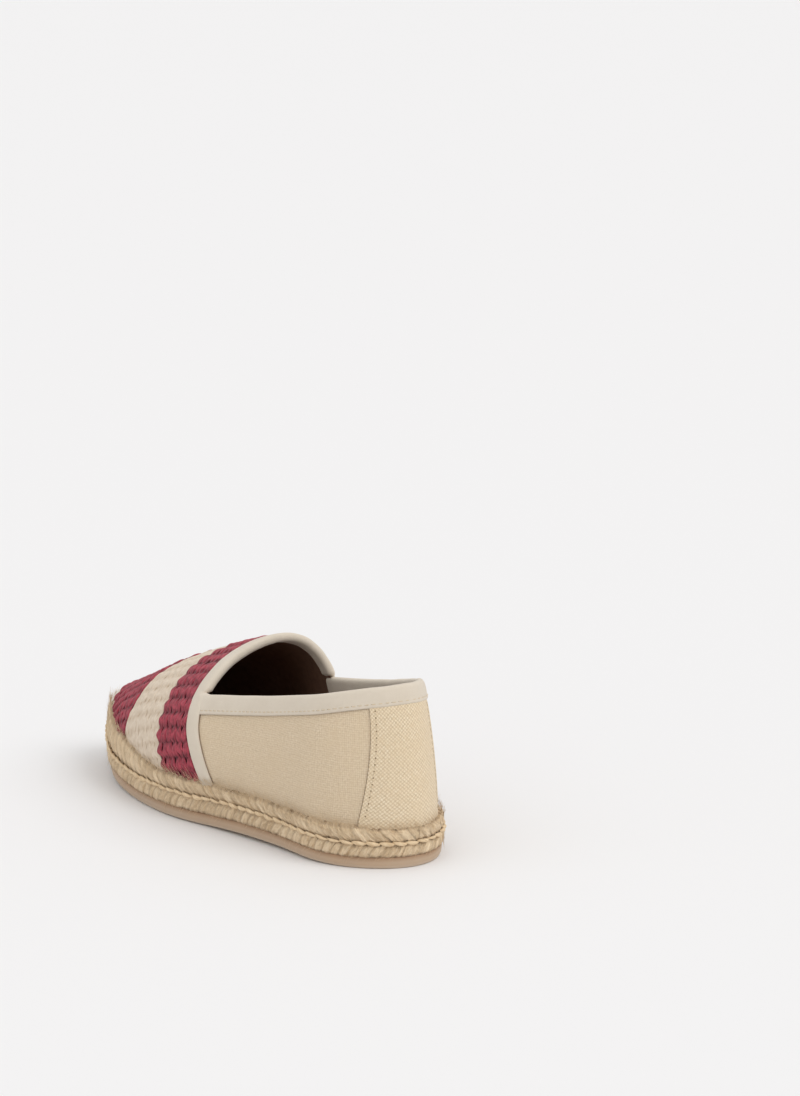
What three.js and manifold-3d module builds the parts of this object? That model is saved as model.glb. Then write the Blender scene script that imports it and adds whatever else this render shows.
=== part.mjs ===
// A slip-on espadrille for the left foot: rubber outsole, braided jute midsole, insole, hollow canvas upper
// with a corded vamp, heel panel and two edge bindings. Millimetres, toe towards +Y, inner side towards +X.
import * as THREE from "three";
import { mergeVertices } from "three/addons/utils/BufferGeometryUtils.js";
import Module from "manifold-3d";

const wasm = await Module();
wasm.setup();

// Sole sizes
const soleLength = 252;
const ballWidth = 94;
const heelWidth = 70;
const heelRound = 44; // length of the rounded heel end
const toeRound = 57; // length of the rounded toe end
const toeShift = 6; // toe tip towards the inner side
const toeSpring = 8; // lift of the toe tip
const outsoleThickness = 5.5;
const outsoleInset = 1.6; // rubber edge inside the braid
const outsoleChamfer = 0.7;
const midsoleHeight = 15;
const braidPitch = 9.2; // one strand of the plait, measured along the edge
const braidRelief = 0.8; // crest of a strand over the furrow beside it
const braidCrown = 0.8; // bulge of each row of the plait
const braidWaist = 1.1; // depth of the seam between the two rows
const seatInset = 3.4; // ledge of braid that shows outside the upper
const insoleThickness = 2.5;

// Upper sizes, heights measured above the midsole
const instepHeight = 61;
const collarHeelHeight = 60.3;
const ridgeHeelShift = 6; // top line of the last towards the inner side, at the heel
const ridgeToeShift = 14; // the same, at the toe
const ridgeRear = 30; // heel end of the top line, in from the heel
const ridgeFront = 30; // toe end of the top line, in from the toe
const wallThickness = 1.8;
const weaveThickness = 0.9; // floor of the weave over the wall
const cordPitch = 5.2;
const cordRelief = 1.1;
const collarBindingWidth = 7.6; // below the collar line
const throatBindingWidth = 7.4; // ahead of the throat line
const collarTape = 0.9;
const throatTape = 1.3;
const hemShare = 0.85; // turned-in leg of a binding against its outer leg
const panelThickness = 0.8;
const panelTop = { lateral: 18.4, medial: 15.1 }; // reach of the heel panel from the middle, at the collar
const panelFoot = { lateral: 26, medial: 21 }; // the same, at the sole
const gap = 0.3; // between neighbouring pieces

// Outline of the braid: half widths as shares of the local half width
const outlineRows = [
  { along: 0, lateral: 0.97, medial: 0.93 },
  { along: 0.14, lateral: 1.04, medial: 0.97 },
  { along: 0.28, lateral: 1.04, medial: 0.95 },
  { along: 0.42, lateral: 1.0, medial: 0.84 },
  { along: 0.55, lateral: 1.01, medial: 0.86 },
  { along: 0.68, lateral: 0.96, medial: 1.04 },
  { along: 0.8, lateral: 0.825, medial: 1.0 },
  { along: 0.92, lateral: 0.61, medial: 0.84 },
  { along: 1, lateral: 0.53, medial: 0.66 },
];
const widthBlendStart = 0.2; // heel width holds up to here, as a share of the length
const widthBlendEnd = 0.6; // ball width holds from here
const toePower = 2.3; // squareness of the toe
const flatShare = 0.62; // the sole lies flat up to here

// Top line of the last: height as a share of the instep height
const ridgeRows = [
  { along: 0, height: 1.36 },
  { along: 0.3, height: 1.19 },
  { along: 0.45, height: 1.04 },
  { along: 0.6, height: 0.9 },
  { along: 0.8, height: 0.685 },
  { along: 1, height: 0.385 },
];

// Side walls of the last: how far a wall bulges (share of the instep height), how steeply it rises
// and how broad its shoulder is (shares of the way to the top line)
const lateralRows = [
  { along: 0, bulge: 0.01, rise: 0.45, shoulder: 0.62 },
  { along: 0.15, bulge: 0.03, rise: 0.55, shoulder: 0.7 },
  { along: 0.35, bulge: 0.04, rise: 0.52, shoulder: 0.58 },
  { along: 0.55, bulge: 0.055, rise: 0.5, shoulder: 0.42 },
  { along: 0.75, bulge: 0.03, rise: 0.52, shoulder: 0.46 },
  { along: 1, bulge: 0, rise: 0.55, shoulder: 0.5 },
];
const medialRows = [
  { along: 0, bulge: 0.01, rise: 0.45, shoulder: 0.62 },
  { along: 0.15, bulge: 0.02, rise: 0.55, shoulder: 0.72 },
  { along: 0.35, bulge: 0.1, rise: 0.56, shoulder: 0.92 },
  { along: 0.55, bulge: 0.075, rise: 0.58, shoulder: 0.82 },
  { along: 0.75, bulge: 0.03, rise: 0.56, shoulder: 0.6 },
  { along: 1, bulge: 0, rise: 0.55, shoulder: 0.5 },
];

// Collar line: height as a share of its height at the heel
const collarRows = [
  { along: 0, height: 1 },
  { along: 0.06, height: 0.955 },
  { along: 0.15, height: 0.875 },
  { along: 0.3, height: 0.75 },
  { along: 0.5, height: 0.61 },
];

// Rear edge of the vamp, from the sole (rise 0) up to the top line (rise 1)
const throatRows = [
  { rise: 0, lateral: 0.438, medial: 0.432 },
  { rise: 0.33, lateral: 0.504, medial: 0.442 },
  { rise: 0.67, lateral: 0.528, medial: 0.468 },
  { rise: 1, lateral: 0.488, medial: 0.488 },
];

// Mesh densities
const soleSteps = 34; // stations from heel to toe on each side
const quarterColumns = 20;
const wallRows = 6; // from the sole up to the collar
const vampRows = 6; // from the collar junction up to the top line
const tipSteps = 3; // between the last cord and the toe tip
const panelSteps = 16;

const lateral = -1;
const medial = 1;
const seatHeight = outsoleThickness + gap + midsoleHeight;

function blend(low, high, value) {
  const t = THREE.MathUtils.clamp((value - low) / (high - low), 0, 1);
  return t * t * (3 - 2 * t);
}

// Smooth curve through one column of a table, read at a place along its key column
function read(rows, key, column, place) {
  const last = rows.length - 1;
  const x = THREE.MathUtils.clamp(place, rows[0][key], rows[last][key]);
  let i = 0;
  while (i < last - 1 && x > rows[i + 1][key]) i += 1;
  const slope = (a, b) => (rows[b][column] - rows[a][column]) / (rows[b][key] - rows[a][key]);
  const tangent = (k) => slope(Math.max(k - 1, 0), Math.min(k + 1, last));
  const span = rows[i + 1][key] - rows[i][key];
  const t = (x - rows[i][key]) / span;
  const start = rows[i][column];
  const end = rows[i + 1][column];
  return (
    start * (1 + 2 * t) * (1 - t) ** 2 +
    end * t * t * (3 - 2 * t) +
    span * t * (1 - t) * (tangent(i) * (1 - t) - tangent(i + 1) * t)
  );
}

// Sole outline at a share of the length, moved in by an inset
function halfWidth(side, along) {
  const share = blend(widthBlendStart, widthBlendEnd, along);
  const local = THREE.MathUtils.lerp(heelWidth, ballWidth, share) / 2;
  return local * read(outlineRows, "along", side === lateral ? "lateral" : "medial", along);
}

function endRounding(along) {
  const fromHeel = (along * soleLength) / heelRound;
  const fromToe = ((1 - along) * soleLength) / toeRound;
  const heel = fromHeel < 1 ? Math.sqrt(1 - (1 - fromHeel) ** 2) : 1;
  const toe = fromToe < 1 ? (1 - (1 - fromToe) ** toePower) ** (1 / toePower) : 1;
  return heel * toe;
}

function spring(along) {
  const t = Math.max(0, (along - flatShare) / (1 - flatShare));
  return toeSpring * t * t;
}

function outlinePoint(side, along, inset, height) {
  const x = toeShift * along ** 2 + side * (halfWidth(side, along) - inset) * endRounding(along);
  const y = inset + along * (soleLength - 2 * inset);
  return new THREE.Vector3(x, y, height + spring(along));
}

// Top line of the last, with its slope towards the toe
function ridgePoint(along) {
  const height = seatHeight + instepHeight * read(ridgeRows, "along", "height", along);
  const x = THREE.MathUtils.lerp(ridgeHeelShift, ridgeToeShift, along);
  const y = THREE.MathUtils.lerp(ridgeRear, soleLength - ridgeFront, along);
  return new THREE.Vector3(x, y, height);
}

function ridgeSlope(along) {
  const low = ridgePoint(Math.max(along - 0.02, 0));
  const high = ridgePoint(Math.min(along + 0.02, 1));
  return (high.z - low.z) / (high.y - low.y);
}

// Surface of the last: rise 0 is the edge on the sole, rise 1 the top line
function lastPoint(side, along, rise) {
  const rows = side === lateral ? lateralRows : medialRows;
  const foot = outlinePoint(side, along, seatInset, seatHeight + gap);
  const top = ridgePoint(along);
  const out = new THREE.Vector3(foot.x - top.x, foot.y - top.y, 0);
  const bulge = instepHeight * read(rows, "along", "bulge", along);
  const low = foot.clone().addScaledVector(out.clone().normalize(), bulge);
  low.z += (top.z - foot.z) * read(rows, "along", "rise", along);
  const shoulder = read(rows, "along", "shoulder", along);
  const high = top.clone().addScaledVector(out, shoulder);
  high.z += ridgeSlope(along) * out.y * shoulder;
  return new THREE.CubicBezierCurve3(foot, low, high, top).getPoint(rise);
}

function sideNormal(side, along, rise) {
  const step = 0.01;
  const turn = Math.acos(1 - 2 * THREE.MathUtils.clamp(along, 0, 1));
  const station = (t) => (1 - Math.cos(THREE.MathUtils.clamp(t, 0, Math.PI))) / 2;
  const forward = lastPoint(side, station(turn + step), rise);
  forward.sub(lastPoint(side, station(turn - step), rise));
  const up = lastPoint(side, along, Math.min(rise + step, 1));
  up.sub(lastPoint(side, along, Math.max(rise - step, 0)));
  return forward.cross(up).multiplyScalar(side).normalize();
}

// Point at a distance outside the last, never lower than the seat
function skinPoint(side, along, rise, offset) {
  const normal = sideNormal(side, along, rise);
  if (along <= 0 || along >= 1 || rise >= 1) normal.add(sideNormal(-side, along, rise)).normalize();
  const point = lastPoint(side, along, rise).addScaledVector(normal, offset);
  point.z = rise > 0 ? Math.max(point.z, seatHeight + gap) : seatHeight + gap + spring(along);
  return point;
}

function bisect(low, high, isBelow) {
  let [a, b] = [low, high];
  for (let i = 0; i < 40; i += 1) {
    const middle = (a + b) / 2;
    if (isBelow(middle)) a = middle;
    else b = middle;
  }
  return (a + b) / 2;
}

// Collar and throat lines on the last
function collarRise(side, along, down) {
  const share = read(collarRows, "along", "height", along);
  const height = seatHeight + collarHeelHeight * share - down;
  return bisect(0, 1, (rise) => lastPoint(side, along, rise).z < height);
}

function throatAlong(side, rise) {
  return read(throatRows, "rise", side === lateral ? "lateral" : "medial", rise);
}

// Station that lies a distance ahead of the throat line
function aheadOfThroat(side, rise, distance) {
  const start = throatAlong(side, rise);
  const step = 0.01;
  const reach = lastPoint(side, start + step, rise).distanceTo(lastPoint(side, start, rise));
  return start + (distance * step) / reach;
}

function junctionRise(side) {
  return bisect(0, 1, (rise) => rise < collarRise(side, throatAlong(side, rise), 0));
}

// Columns of the side walls, as shares of the way from the heel to the throat
function quarterShares(side) {
  const end = throatAlong(side, junctionRise(side));
  const turn = Math.acos(1 - 2 * end);
  return Array.from({ length: quarterColumns + 1 }, (_, i) => {
    return (1 - Math.cos((turn * i) / quarterColumns)) / 2 / end;
  });
}

// Closed meshes from strips of points
class Surface {
  constructor() {
    this.corners = [];
  }

  triangle(a, b, c) {
    const tiny = 1e-3;
    if (a.distanceTo(b) < tiny || b.distanceTo(c) < tiny || c.distanceTo(a) < tiny) return;
    this.corners.push(a, b, c);
  }

  // Faces between two lines of points; their front looks along (line direction) x (first to second)
  strip(first, second, flip = false) {
    const [a, b] = flip ? [second, first] : [first, second];
    for (let i = 0; i < a.length - 1; i += 1) {
      this.triangle(a[i], a[i + 1], b[i + 1]);
      this.triangle(a[i], b[i + 1], b[i]);
    }
  }

  sheet(lines, flip = false) {
    for (let i = 0; i < lines.length - 1; i += 1) this.strip(lines[i], lines[i + 1], flip);
  }

  geometry() {
    const made = new THREE.BufferGeometry().setFromPoints(this.corners);
    const merged = mergeVertices(made, 1e-3);
    merged.computeVertexNormals();
    return merged;
  }
}

// A wall between an outer and an inner net of points, with its four edges closed
function shellGeometry(outer, inner) {
  const surface = new Surface();
  surface.sheet(outer);
  surface.sheet(inner, true);
  surface.strip(inner[0], outer[0]);
  surface.strip(outer.at(-1), inner.at(-1));
  surface.strip(outer.map((line) => line[0]), inner.map((line) => line[0]));
  surface.strip(inner.map((line) => line.at(-1)), outer.map((line) => line.at(-1)));
  return surface.geometry();
}

// Solid through level rings that share their heel and toe points, closed by ladders across the sole
function stackGeometry(rings) {
  const surface = new Surface();
  const closed = rings.map((ring) => [...ring, ring[0]]);
  surface.sheet(closed, true);
  const ladder = (ring, flip) => {
    const half = ring.length / 2;
    const outerSide = ring.slice(0, half + 1);
    const innerSide = [ring[0], ...ring.slice(half).reverse()];
    surface.strip(outerSide, innerSide, flip);
  };
  ladder(rings[0], false);
  ladder(rings.at(-1), true);
  return surface.geometry();
}

function solidOf(geometry) {
  const bare = new THREE.BufferGeometry();
  bare.setAttribute("position", geometry.getAttribute("position"));
  bare.setIndex(geometry.index);
  const merged = mergeVertices(bare, 1e-3);
  return new wasm.Manifold(
    new wasm.Mesh({
      numProp: 3,
      vertProperties: merged.attributes.position.array,
      triVerts: new Uint32Array(merged.index.array),
    }),
  );
}

function geometryOf(solid) {
  const mesh = solid.getMesh();
  const made = new THREE.BufferGeometry();
  made.setAttribute("position", new THREE.BufferAttribute(mesh.vertProperties, 3));
  made.setIndex(new THREE.BufferAttribute(mesh.triVerts, 1));
  made.computeVertexNormals();
  return made;
}

// Stations from heel to toe, closer together at the round ends
function stations(count) {
  return Array.from({ length: count + 1 }, (_, i) => (1 - Math.cos((Math.PI * i) / count)) / 2);
}

// Ring round the sole: heel, outer side, toe, inner side
function soleRing(count, place) {
  const shares = stations(count);
  const outerSide = shares.map((along) => place(lateral, along));
  const innerSide = shares.slice(1, -1).map((along) => place(medial, along));
  return [...outerSide, ...innerSide.reverse()];
}

function outsoleGeometry() {
  const levels = [
    { inset: outsoleInset + outsoleChamfer, height: 0 },
    { inset: outsoleInset, height: outsoleChamfer },
    { inset: outsoleInset, height: outsoleThickness },
  ];
  return stackGeometry(
    levels.map(({ inset, height }) =>
      soleRing(soleSteps, (side, along) => outlinePoint(side, along, inset, height)),
    ),
  );
}

// Even steps along the outline of one side, from heel to toe
function evenStations(side, count) {
  const samples = stations(200);
  const lengths = [0];
  samples.slice(1).forEach((along, i) => {
    const step = outlinePoint(side, along, 0, 0).distanceTo(outlinePoint(side, samples[i], 0, 0));
    lengths.push(lengths[i] + step);
  });
  const total = lengths.at(-1);
  return (share) => {
    const target = THREE.MathUtils.clamp(share, 0, 1) * total;
    const i = Math.max(1, lengths.findIndex((length) => length >= target));
    const t = (target - lengths[i - 1]) / (lengths[i] - lengths[i - 1]);
    return { along: THREE.MathUtils.lerp(samples[i - 1], samples[i], t), total };
  };
}

// Rows of the braided edge: share of the midsole's height, crown (1) or seam (-1), lean of the strands
const braidRows = [
  { share: 0, crown: -1, lean: 1, relief: 0 },
  { share: 0.12, crown: 0.1, lean: 0.8, relief: 0.7 },
  { share: 0.27, crown: 1, lean: 0.5, relief: 1 },
  { share: 0.43, crown: 0.1, lean: 0.1, relief: 0.7 },
  { share: 0.51, crown: -1, lean: 0, relief: 0.2 },
  { share: 0.59, crown: 0.1, lean: 0.1, relief: 0.7 },
  { share: 0.76, crown: 0.8, lean: 0.6, relief: 1 },
  { share: 0.93, crown: 0, lean: 1, relief: 0.7 },
  { share: 1, crown: -1.6, lean: 1.1, relief: 0 },
];

function midsoleGeometry() {
  const outerAt = evenStations(lateral);
  const innerAt = evenStations(medial);
  const girth = outerAt(1).total + innerAt(1).total;
  const count = 2 * Math.round(girth / braidPitch / 2); // strands all round, an even number
  const place = (turn) => {
    const wrapped = ((turn % 2) + 2) % 2;
    return wrapped <= 1
      ? { side: lateral, along: outerAt(wrapped).along }
      : { side: medial, along: innerAt(2 - wrapped).along };
  };
  const bottom = outsoleThickness + gap;
  const ring = (height, inset, lean, relief) =>
    Array.from({ length: 2 * count }, (_, i) => {
      const { side, along } = place((i + lean) / count);
      const crest = i % 2 ? relief * braidRelief : 0;
      return outlinePoint(side, along, inset - crest, bottom + height);
    });
  const rows = braidRows.map(({ share, crown, lean, relief }) => {
    const bulge = crown > 0 ? crown * braidCrown : crown * braidWaist;
    return ring(share * midsoleHeight, braidCrown - bulge, lean, relief);
  });
  const under = ring(0, seatInset, 0, 0);
  const over = ring(midsoleHeight, seatInset, 0, 0);
  return stackGeometry([under, ...rows, over]);
}

function insoleGeometry() {
  const edge = -(wallThickness + 2 * gap);
  const low = soleRing(soleSteps, (side, along) => skinPoint(side, along, 0, edge));
  const high = soleRing(soleSteps, (side, along) => {
    const top = seatHeight + gap + spring(along) + insoleThickness;
    const rise = bisect(0, 0.3, (value) => lastPoint(side, along, value).z < top);
    return skinPoint(side, along, rise, edge - gap).setZ(top);
  });
  return stackGeometry([low, high]);
}

// The upper: side walls up to the collar and the vamp from the throat line to the toe, one closed wall
function vampRelief(distance) {
  const start = throatBindingWidth + 2 * gap;
  if (distance <= start) return 0;
  const phase = (distance - start) / cordPitch;
  const crest = Math.abs(phase - Math.floor(phase) - 0.5) < 0.25 ? cordRelief : 0;
  return weaveThickness + crest;
}

function vampDistances() {
  const start = throatBindingWidth + 2 * gap;
  const list = [0, start];
  const reach = soleLength * (1 - throatRows[0].lateral) + cordPitch;
  for (let distance = start + gap; distance < reach; distance += cordPitch / 2) list.push(distance);
  return list;
}

function stationAt(side, riseAt, y) {
  const nearTip = 0.995;
  const along = bisect(0, 1, (value) => lastPoint(side, value, riseAt(value)).y < y);
  return along > nearTip ? 1 : along;
}

// The last regular station of a line is joined to the toe tip in even turns of the toe's curve
function easeToTip(places) {
  const regular = places.filter(({ along }) => along < 1);
  const lastTurn = Math.acos(1 - 2 * regular.at(-1).along);
  const easing = Array.from({ length: tipSteps }, (_, i) => {
    const turn = THREE.MathUtils.lerp(lastTurn, Math.PI, (i + 1) / (tipSteps + 1));
    return { along: (1 - Math.cos(turn)) / 2, distance: Infinity };
  });
  const tip = { along: 1, distance: Infinity };
  const rest = Array.from({ length: places.length - regular.length + 1 }, () => tip);
  return [...regular, ...easing, ...rest];
}

// Rises of the vamp's lines, from the sole up to the collar junction and on to the top line
function vampRises(junction) {
  const wall = Array.from({ length: wallRows + 1 }, (_, k) => (junction * k) / wallRows);
  const roof = Array.from({ length: vampRows }, (_, k) => junction + ((1 - junction) * (k + 1)) / vampRows);
  return [...wall, ...roof];
}

function upperSide(surface, side) {
  const flip = side === lateral;
  const junction = junctionRise(side);
  const junctionAlong = throatAlong(side, junction);
  const shares = Array.from({ length: wallRows + 1 }, (_, k) => k / wallRows);

  const columns = quarterShares(side).map((share, i) => {
    const top = collarRise(side, share * junctionAlong, 0);
    return shares.map((v) => ({
      along: share * throatAlong(side, v * junction),
      rise: i === quarterColumns ? v * junction : v * top,
    }));
  });
  const quarter = (offset) =>
    shares.map((_, k) =>
      columns.map((column) => skinPoint(side, column[k].along, column[k].rise, offset)),
    );

  const rises = vampRises(junction);
  const tipRises = vampRises((junctionRise(lateral) + junctionRise(medial)) / 2);
  const distances = vampDistances();
  const vamp = (offsetAt) =>
    rises.map((rise, k) => {
      const start = throatAlong(side, rise);
      const startY = lastPoint(side, start, rise).y;
      const riseAt = (along) => {
        const share = THREE.MathUtils.clamp((along - start) / (1 - start), 0, 1);
        return THREE.MathUtils.lerp(rise, tipRises[k], share);
      };
      const places = distances.map((distance) => {
        const along = distance === 0 ? start : stationAt(side, riseAt, startY + distance);
        return { along, distance };
      });
      return easeToTip(places).map(({ along, distance }) =>
        skinPoint(side, along, riseAt(along), offsetAt(along < 1 ? distance : Infinity)),
      );
    });

  const outerQuarter = quarter(0);
  const innerQuarter = quarter(-wallThickness);
  const outerVamp = vamp((distance) => (distance < Infinity ? vampRelief(distance) : weaveThickness));
  const innerVamp = vamp(() => -wallThickness);
  surface.sheet(outerQuarter, flip);
  surface.sheet(innerQuarter, !flip);
  surface.sheet(outerVamp, flip);
  surface.sheet(innerVamp, !flip);
  surface.strip(outerQuarter[wallRows], innerQuarter[wallRows], flip);
  surface.strip(innerQuarter[0], outerQuarter[0], flip);
  surface.strip(innerVamp[0], outerVamp[0], flip);
  const throatOuter = outerVamp.slice(wallRows).map((line) => line[0]);
  const throatInner = innerVamp.slice(wallRows).map((line) => line[0]);
  surface.strip(throatOuter, throatInner, flip);
}

function upperGeometry() {
  const surface = new Surface();
  upperSide(surface, lateral);
  upperSide(surface, medial);
  return surface.geometry();
}

// Lines round the heel from the outer side to the inner side
function roundHeel(count, place) {
  const shares = Array.from({ length: count + 1 }, (_, i) => Math.sin((Math.PI / 2) * (i / count)) ** 2);
  const outerSide = shares.slice(1).reverse().map((share) => place(lateral, share));
  return [...outerSide, ...shares.map((share) => place(medial, share))];
}

function collarBindingGeometry() {
  const inside = -wallThickness - gap;
  const outer = [
    { down: collarBindingWidth, offset: gap + collarTape },
    { down: collarBindingWidth / 2, offset: gap + collarTape },
    { down: 0, offset: gap + collarTape },
    { down: -gap - collarTape, offset: 0 },
    { down: -gap - collarTape, offset: -wallThickness },
    { down: collarBindingWidth / 2, offset: inside - collarTape },
    { down: collarBindingWidth * hemShare, offset: inside - collarTape },
  ];
  const inner = [
    { down: collarBindingWidth, offset: gap },
    { down: collarBindingWidth / 2, offset: gap },
    { down: gap, offset: gap },
    { down: -gap, offset: gap },
    { down: -gap, offset: inside },
    { down: collarBindingWidth / 2, offset: inside },
    { down: collarBindingWidth * hemShare, offset: inside },
  ];
  const clear = 2 * gap + throatTape;
  const net = (profile) => {
    const column = (side, share) => {
      return profile.map(({ down, offset }) => {
        const junction = throatAlong(side, junctionRise(side));
        const edge = collarRise(side, junction, down);
        const end = aheadOfThroat(side, edge, -clear);
        const along = Math.min(share * throatAlong(side, edge), end);
        return skinPoint(side, along, collarRise(side, along, down), offset);
      });
    };
    const outerSide = quarterShares(lateral).reverse().map((share) => column(lateral, share));
    const innerSide = quarterShares(medial).slice(1).map((share) => column(medial, share));
    return [...outerSide, ...innerSide];
  };
  return shellGeometry(net(inner), net(outer));
}

function heelPanelGeometry() {
  const rows = 8;
  const halfTurn = (side, rise, halfSpan) => {
    return bisect(0, 0.4, (along) => {
      const start = lastPoint(side, 0, rise);
      const end = lastPoint(side, along, rise);
      return Math.hypot(end.x - start.x, end.y - start.y) < halfSpan;
    });
  };
  const net = (offset) =>
    roundHeel(panelSteps / 2, (side, share) =>
      Array.from({ length: rows + 1 }, (_, k) => {
        const v = k / rows;
        const middleRise = v * collarRise(side, 0, collarBindingWidth + gap);
        const half = side === lateral ? "lateral" : "medial";
        const spread = THREE.MathUtils.lerp(panelFoot[half], panelTop[half], Math.sin((v * Math.PI) / 2));
        const end = halfTurn(side, middleRise, spread);
        const rise = v * collarRise(side, share * end, collarBindingWidth + gap);
        return skinPoint(side, share * end, rise, offset);
      }),
    );
  return shellGeometry(net(gap), net(gap + panelThickness));
}

// Beside the quarters it is a flat strap, above the collar it wraps the edge of the throat
function vampBindingGeometry() {
  const fold = -gap - throatTape;
  const inside = -wallThickness - gap;
  const hem = throatBindingWidth * hemShare;
  const end = { ahead: fold, offset: gap };
  const strap = {
    outer: [
      { ahead: throatBindingWidth, offset: gap + throatTape },
      { ahead: 0, offset: gap + throatTape },
      { ahead: fold, offset: gap + throatTape / 2 },
    ],
    inner: [
      { ahead: throatBindingWidth, offset: gap },
      { ahead: 0, offset: gap },
      { ahead: -gap, offset: gap },
    ],
  };
  const wrap = {
    outer: [
      { ahead: fold, offset: -wallThickness },
      { ahead: 0, offset: inside - throatTape },
      { ahead: hem, offset: inside - throatTape },
    ],
    inner: [
      { ahead: -gap, offset: inside },
      { ahead: 0, offset: inside },
      { ahead: hem, offset: inside },
    ],
  };
  const corner = {
    outer: [
      { ahead: fold, offset: -wallThickness },
      { ahead: fold, offset: inside - throatTape },
      { ahead: fold, offset: inside - throatTape },
    ],
    inner: [
      { ahead: -gap, offset: inside },
      { ahead: -gap, offset: inside },
      { ahead: -gap, offset: inside },
    ],
  };
  const lines = (side, face) => {
    const junction = junctionRise(side);
    const list = [];
    const add = (rise, profile) => {
      list.push(profile.map(({ ahead, offset }) => skinPoint(side, aheadOfThroat(side, rise, ahead), rise, offset)));
    };
    const rises = vampRises(junction);
    rises.slice(0, wallRows + 1).forEach((rise) => add(rise, [...strap[face], end, end, end]));
    add(junction + 0.03, [...strap[face], ...corner[face]]);
    add(junction + 0.045, [...strap[face], ...wrap[face]]);
    rises.slice(wallRows + 1).forEach((rise) => add(rise, [...strap[face], ...wrap[face]]));
    return list;
  };
  const net = (face) => [...lines(lateral, face), ...lines(medial, face).slice(0, -1).reverse()];
  return shellGeometry(net("outer"), net("inner"));
}

function named(name, geometry, color, roughness) {
  const material = new THREE.MeshStandardMaterial({ color, roughness, metalness: 0 });
  const mesh = new THREE.Mesh(geometry, material);
  mesh.name = name;
  return mesh;
}

const espadrille = new THREE.Group();
espadrille.add(
  named("outsole", outsoleGeometry(), 0xb9a695, 0.6),
  named("braided_midsole", midsoleGeometry(), 0xc8a678, 0.95),
  named("insole", insoleGeometry(), 0x3a2c24, 0.9),
  named("upper", upperGeometry(), 0xdcc29b, 0.9),
  named("heel_panel", heelPanelGeometry(), 0xdfc9a3, 0.9),
  named("collar_binding", collarBindingGeometry(), 0xe0d6c6, 0.85),
  named("vamp_binding", vampBindingGeometry(), 0xe0d6c6, 0.85),
);

// Origin under the middle of the shoe, on the floor
const middle = new THREE.Box3().setFromObject(espadrille).getCenter(new THREE.Vector3());
espadrille.position.set(-middle.x, -middle.y, 0);

export default espadrille;
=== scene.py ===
import math
import bpy
import numpy as np
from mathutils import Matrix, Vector


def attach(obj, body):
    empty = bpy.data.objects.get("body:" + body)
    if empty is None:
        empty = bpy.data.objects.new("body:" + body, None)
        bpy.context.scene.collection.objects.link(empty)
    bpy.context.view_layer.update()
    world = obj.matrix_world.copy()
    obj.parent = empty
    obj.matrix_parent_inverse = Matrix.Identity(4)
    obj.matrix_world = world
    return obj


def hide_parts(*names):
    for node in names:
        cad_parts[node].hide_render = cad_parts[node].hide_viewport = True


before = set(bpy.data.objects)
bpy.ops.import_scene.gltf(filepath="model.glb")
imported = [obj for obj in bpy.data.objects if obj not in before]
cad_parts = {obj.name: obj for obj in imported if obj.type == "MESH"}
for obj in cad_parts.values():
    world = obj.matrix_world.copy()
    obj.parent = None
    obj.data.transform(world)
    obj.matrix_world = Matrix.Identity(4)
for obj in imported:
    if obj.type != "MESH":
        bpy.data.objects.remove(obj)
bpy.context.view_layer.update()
print("frame loaded")

# shape of the shoe in millimetres, toe towards +Y, the same numbers as the solids
shoe = {
    "length": 252.0,
    "ballWidth": 94.0,
    "heelWidth": 70.0,
    "heelRound": 44.0,
    "toeRound": 57.0,
    "toePower": 2.3,
    "toeShift": 6.0,
    "toeSpring": 8.0,
    "flatShare": 0.62,
    "outsoleThickness": 5.5,
    "outsoleInset": 1.6,
    "midsoleHeight": 15.0,
    "seatInset": 3.4,
    "gap": 0.3,
    "instepHeight": 61.0,
    "collarHeelHeight": 60.3,
    "ridgeHeelShift": 6.0,
    "ridgeToeShift": 14.0,
    "ridgeRear": 30.0,
    "ridgeFront": 30.0,
    "wall": 1.8,
    "middleX": 3.550,
    "middleY": 126.005,
}
outlineAlong = [0, 0.14, 0.28, 0.42, 0.55, 0.68, 0.8, 0.92, 1]
outlineWidth = {
    -1: [0.97, 1.04, 1.04, 1.0, 1.01, 0.96, 0.825, 0.61, 0.53],
    1: [0.93, 0.97, 0.95, 0.84, 0.86, 1.04, 1.0, 0.84, 0.66],
}
ridgeAlong = [0, 0.3, 0.45, 0.6, 0.8, 1]
ridgeHeight = [1.36, 1.19, 1.04, 0.9, 0.685, 0.385]
wallAlong = [0, 0.15, 0.35, 0.55, 0.75, 1]
wallBulge = {-1: [0.01, 0.03, 0.04, 0.055, 0.03, 0], 1: [0.01, 0.02, 0.1, 0.075, 0.03, 0]}
wallRise = {-1: [0.45, 0.55, 0.52, 0.5, 0.52, 0.55], 1: [0.45, 0.55, 0.56, 0.58, 0.56, 0.55]}
wallShoulder = {-1: [0.62, 0.7, 0.58, 0.42, 0.46, 0.5], 1: [0.62, 0.72, 0.92, 0.82, 0.6, 0.5]}
collarAlong = [0, 0.06, 0.15, 0.3, 0.5]
collarHeight = [1, 0.955, 0.875, 0.75, 0.61]
throatRise = [0, 0.33, 0.67, 1]
throatPlace = {-1: [0.438, 0.504, 0.528, 0.488], 1: [0.432, 0.442, 0.468, 0.488]}

outer, inner = -1, 1  # outer (little toe) side and inner (big toe) side of the shoe
floorOfSeat = shoe["outsoleThickness"] + shoe["gap"] + shoe["midsoleHeight"]
seat = floorOfSeat + shoe["gap"]


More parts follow.
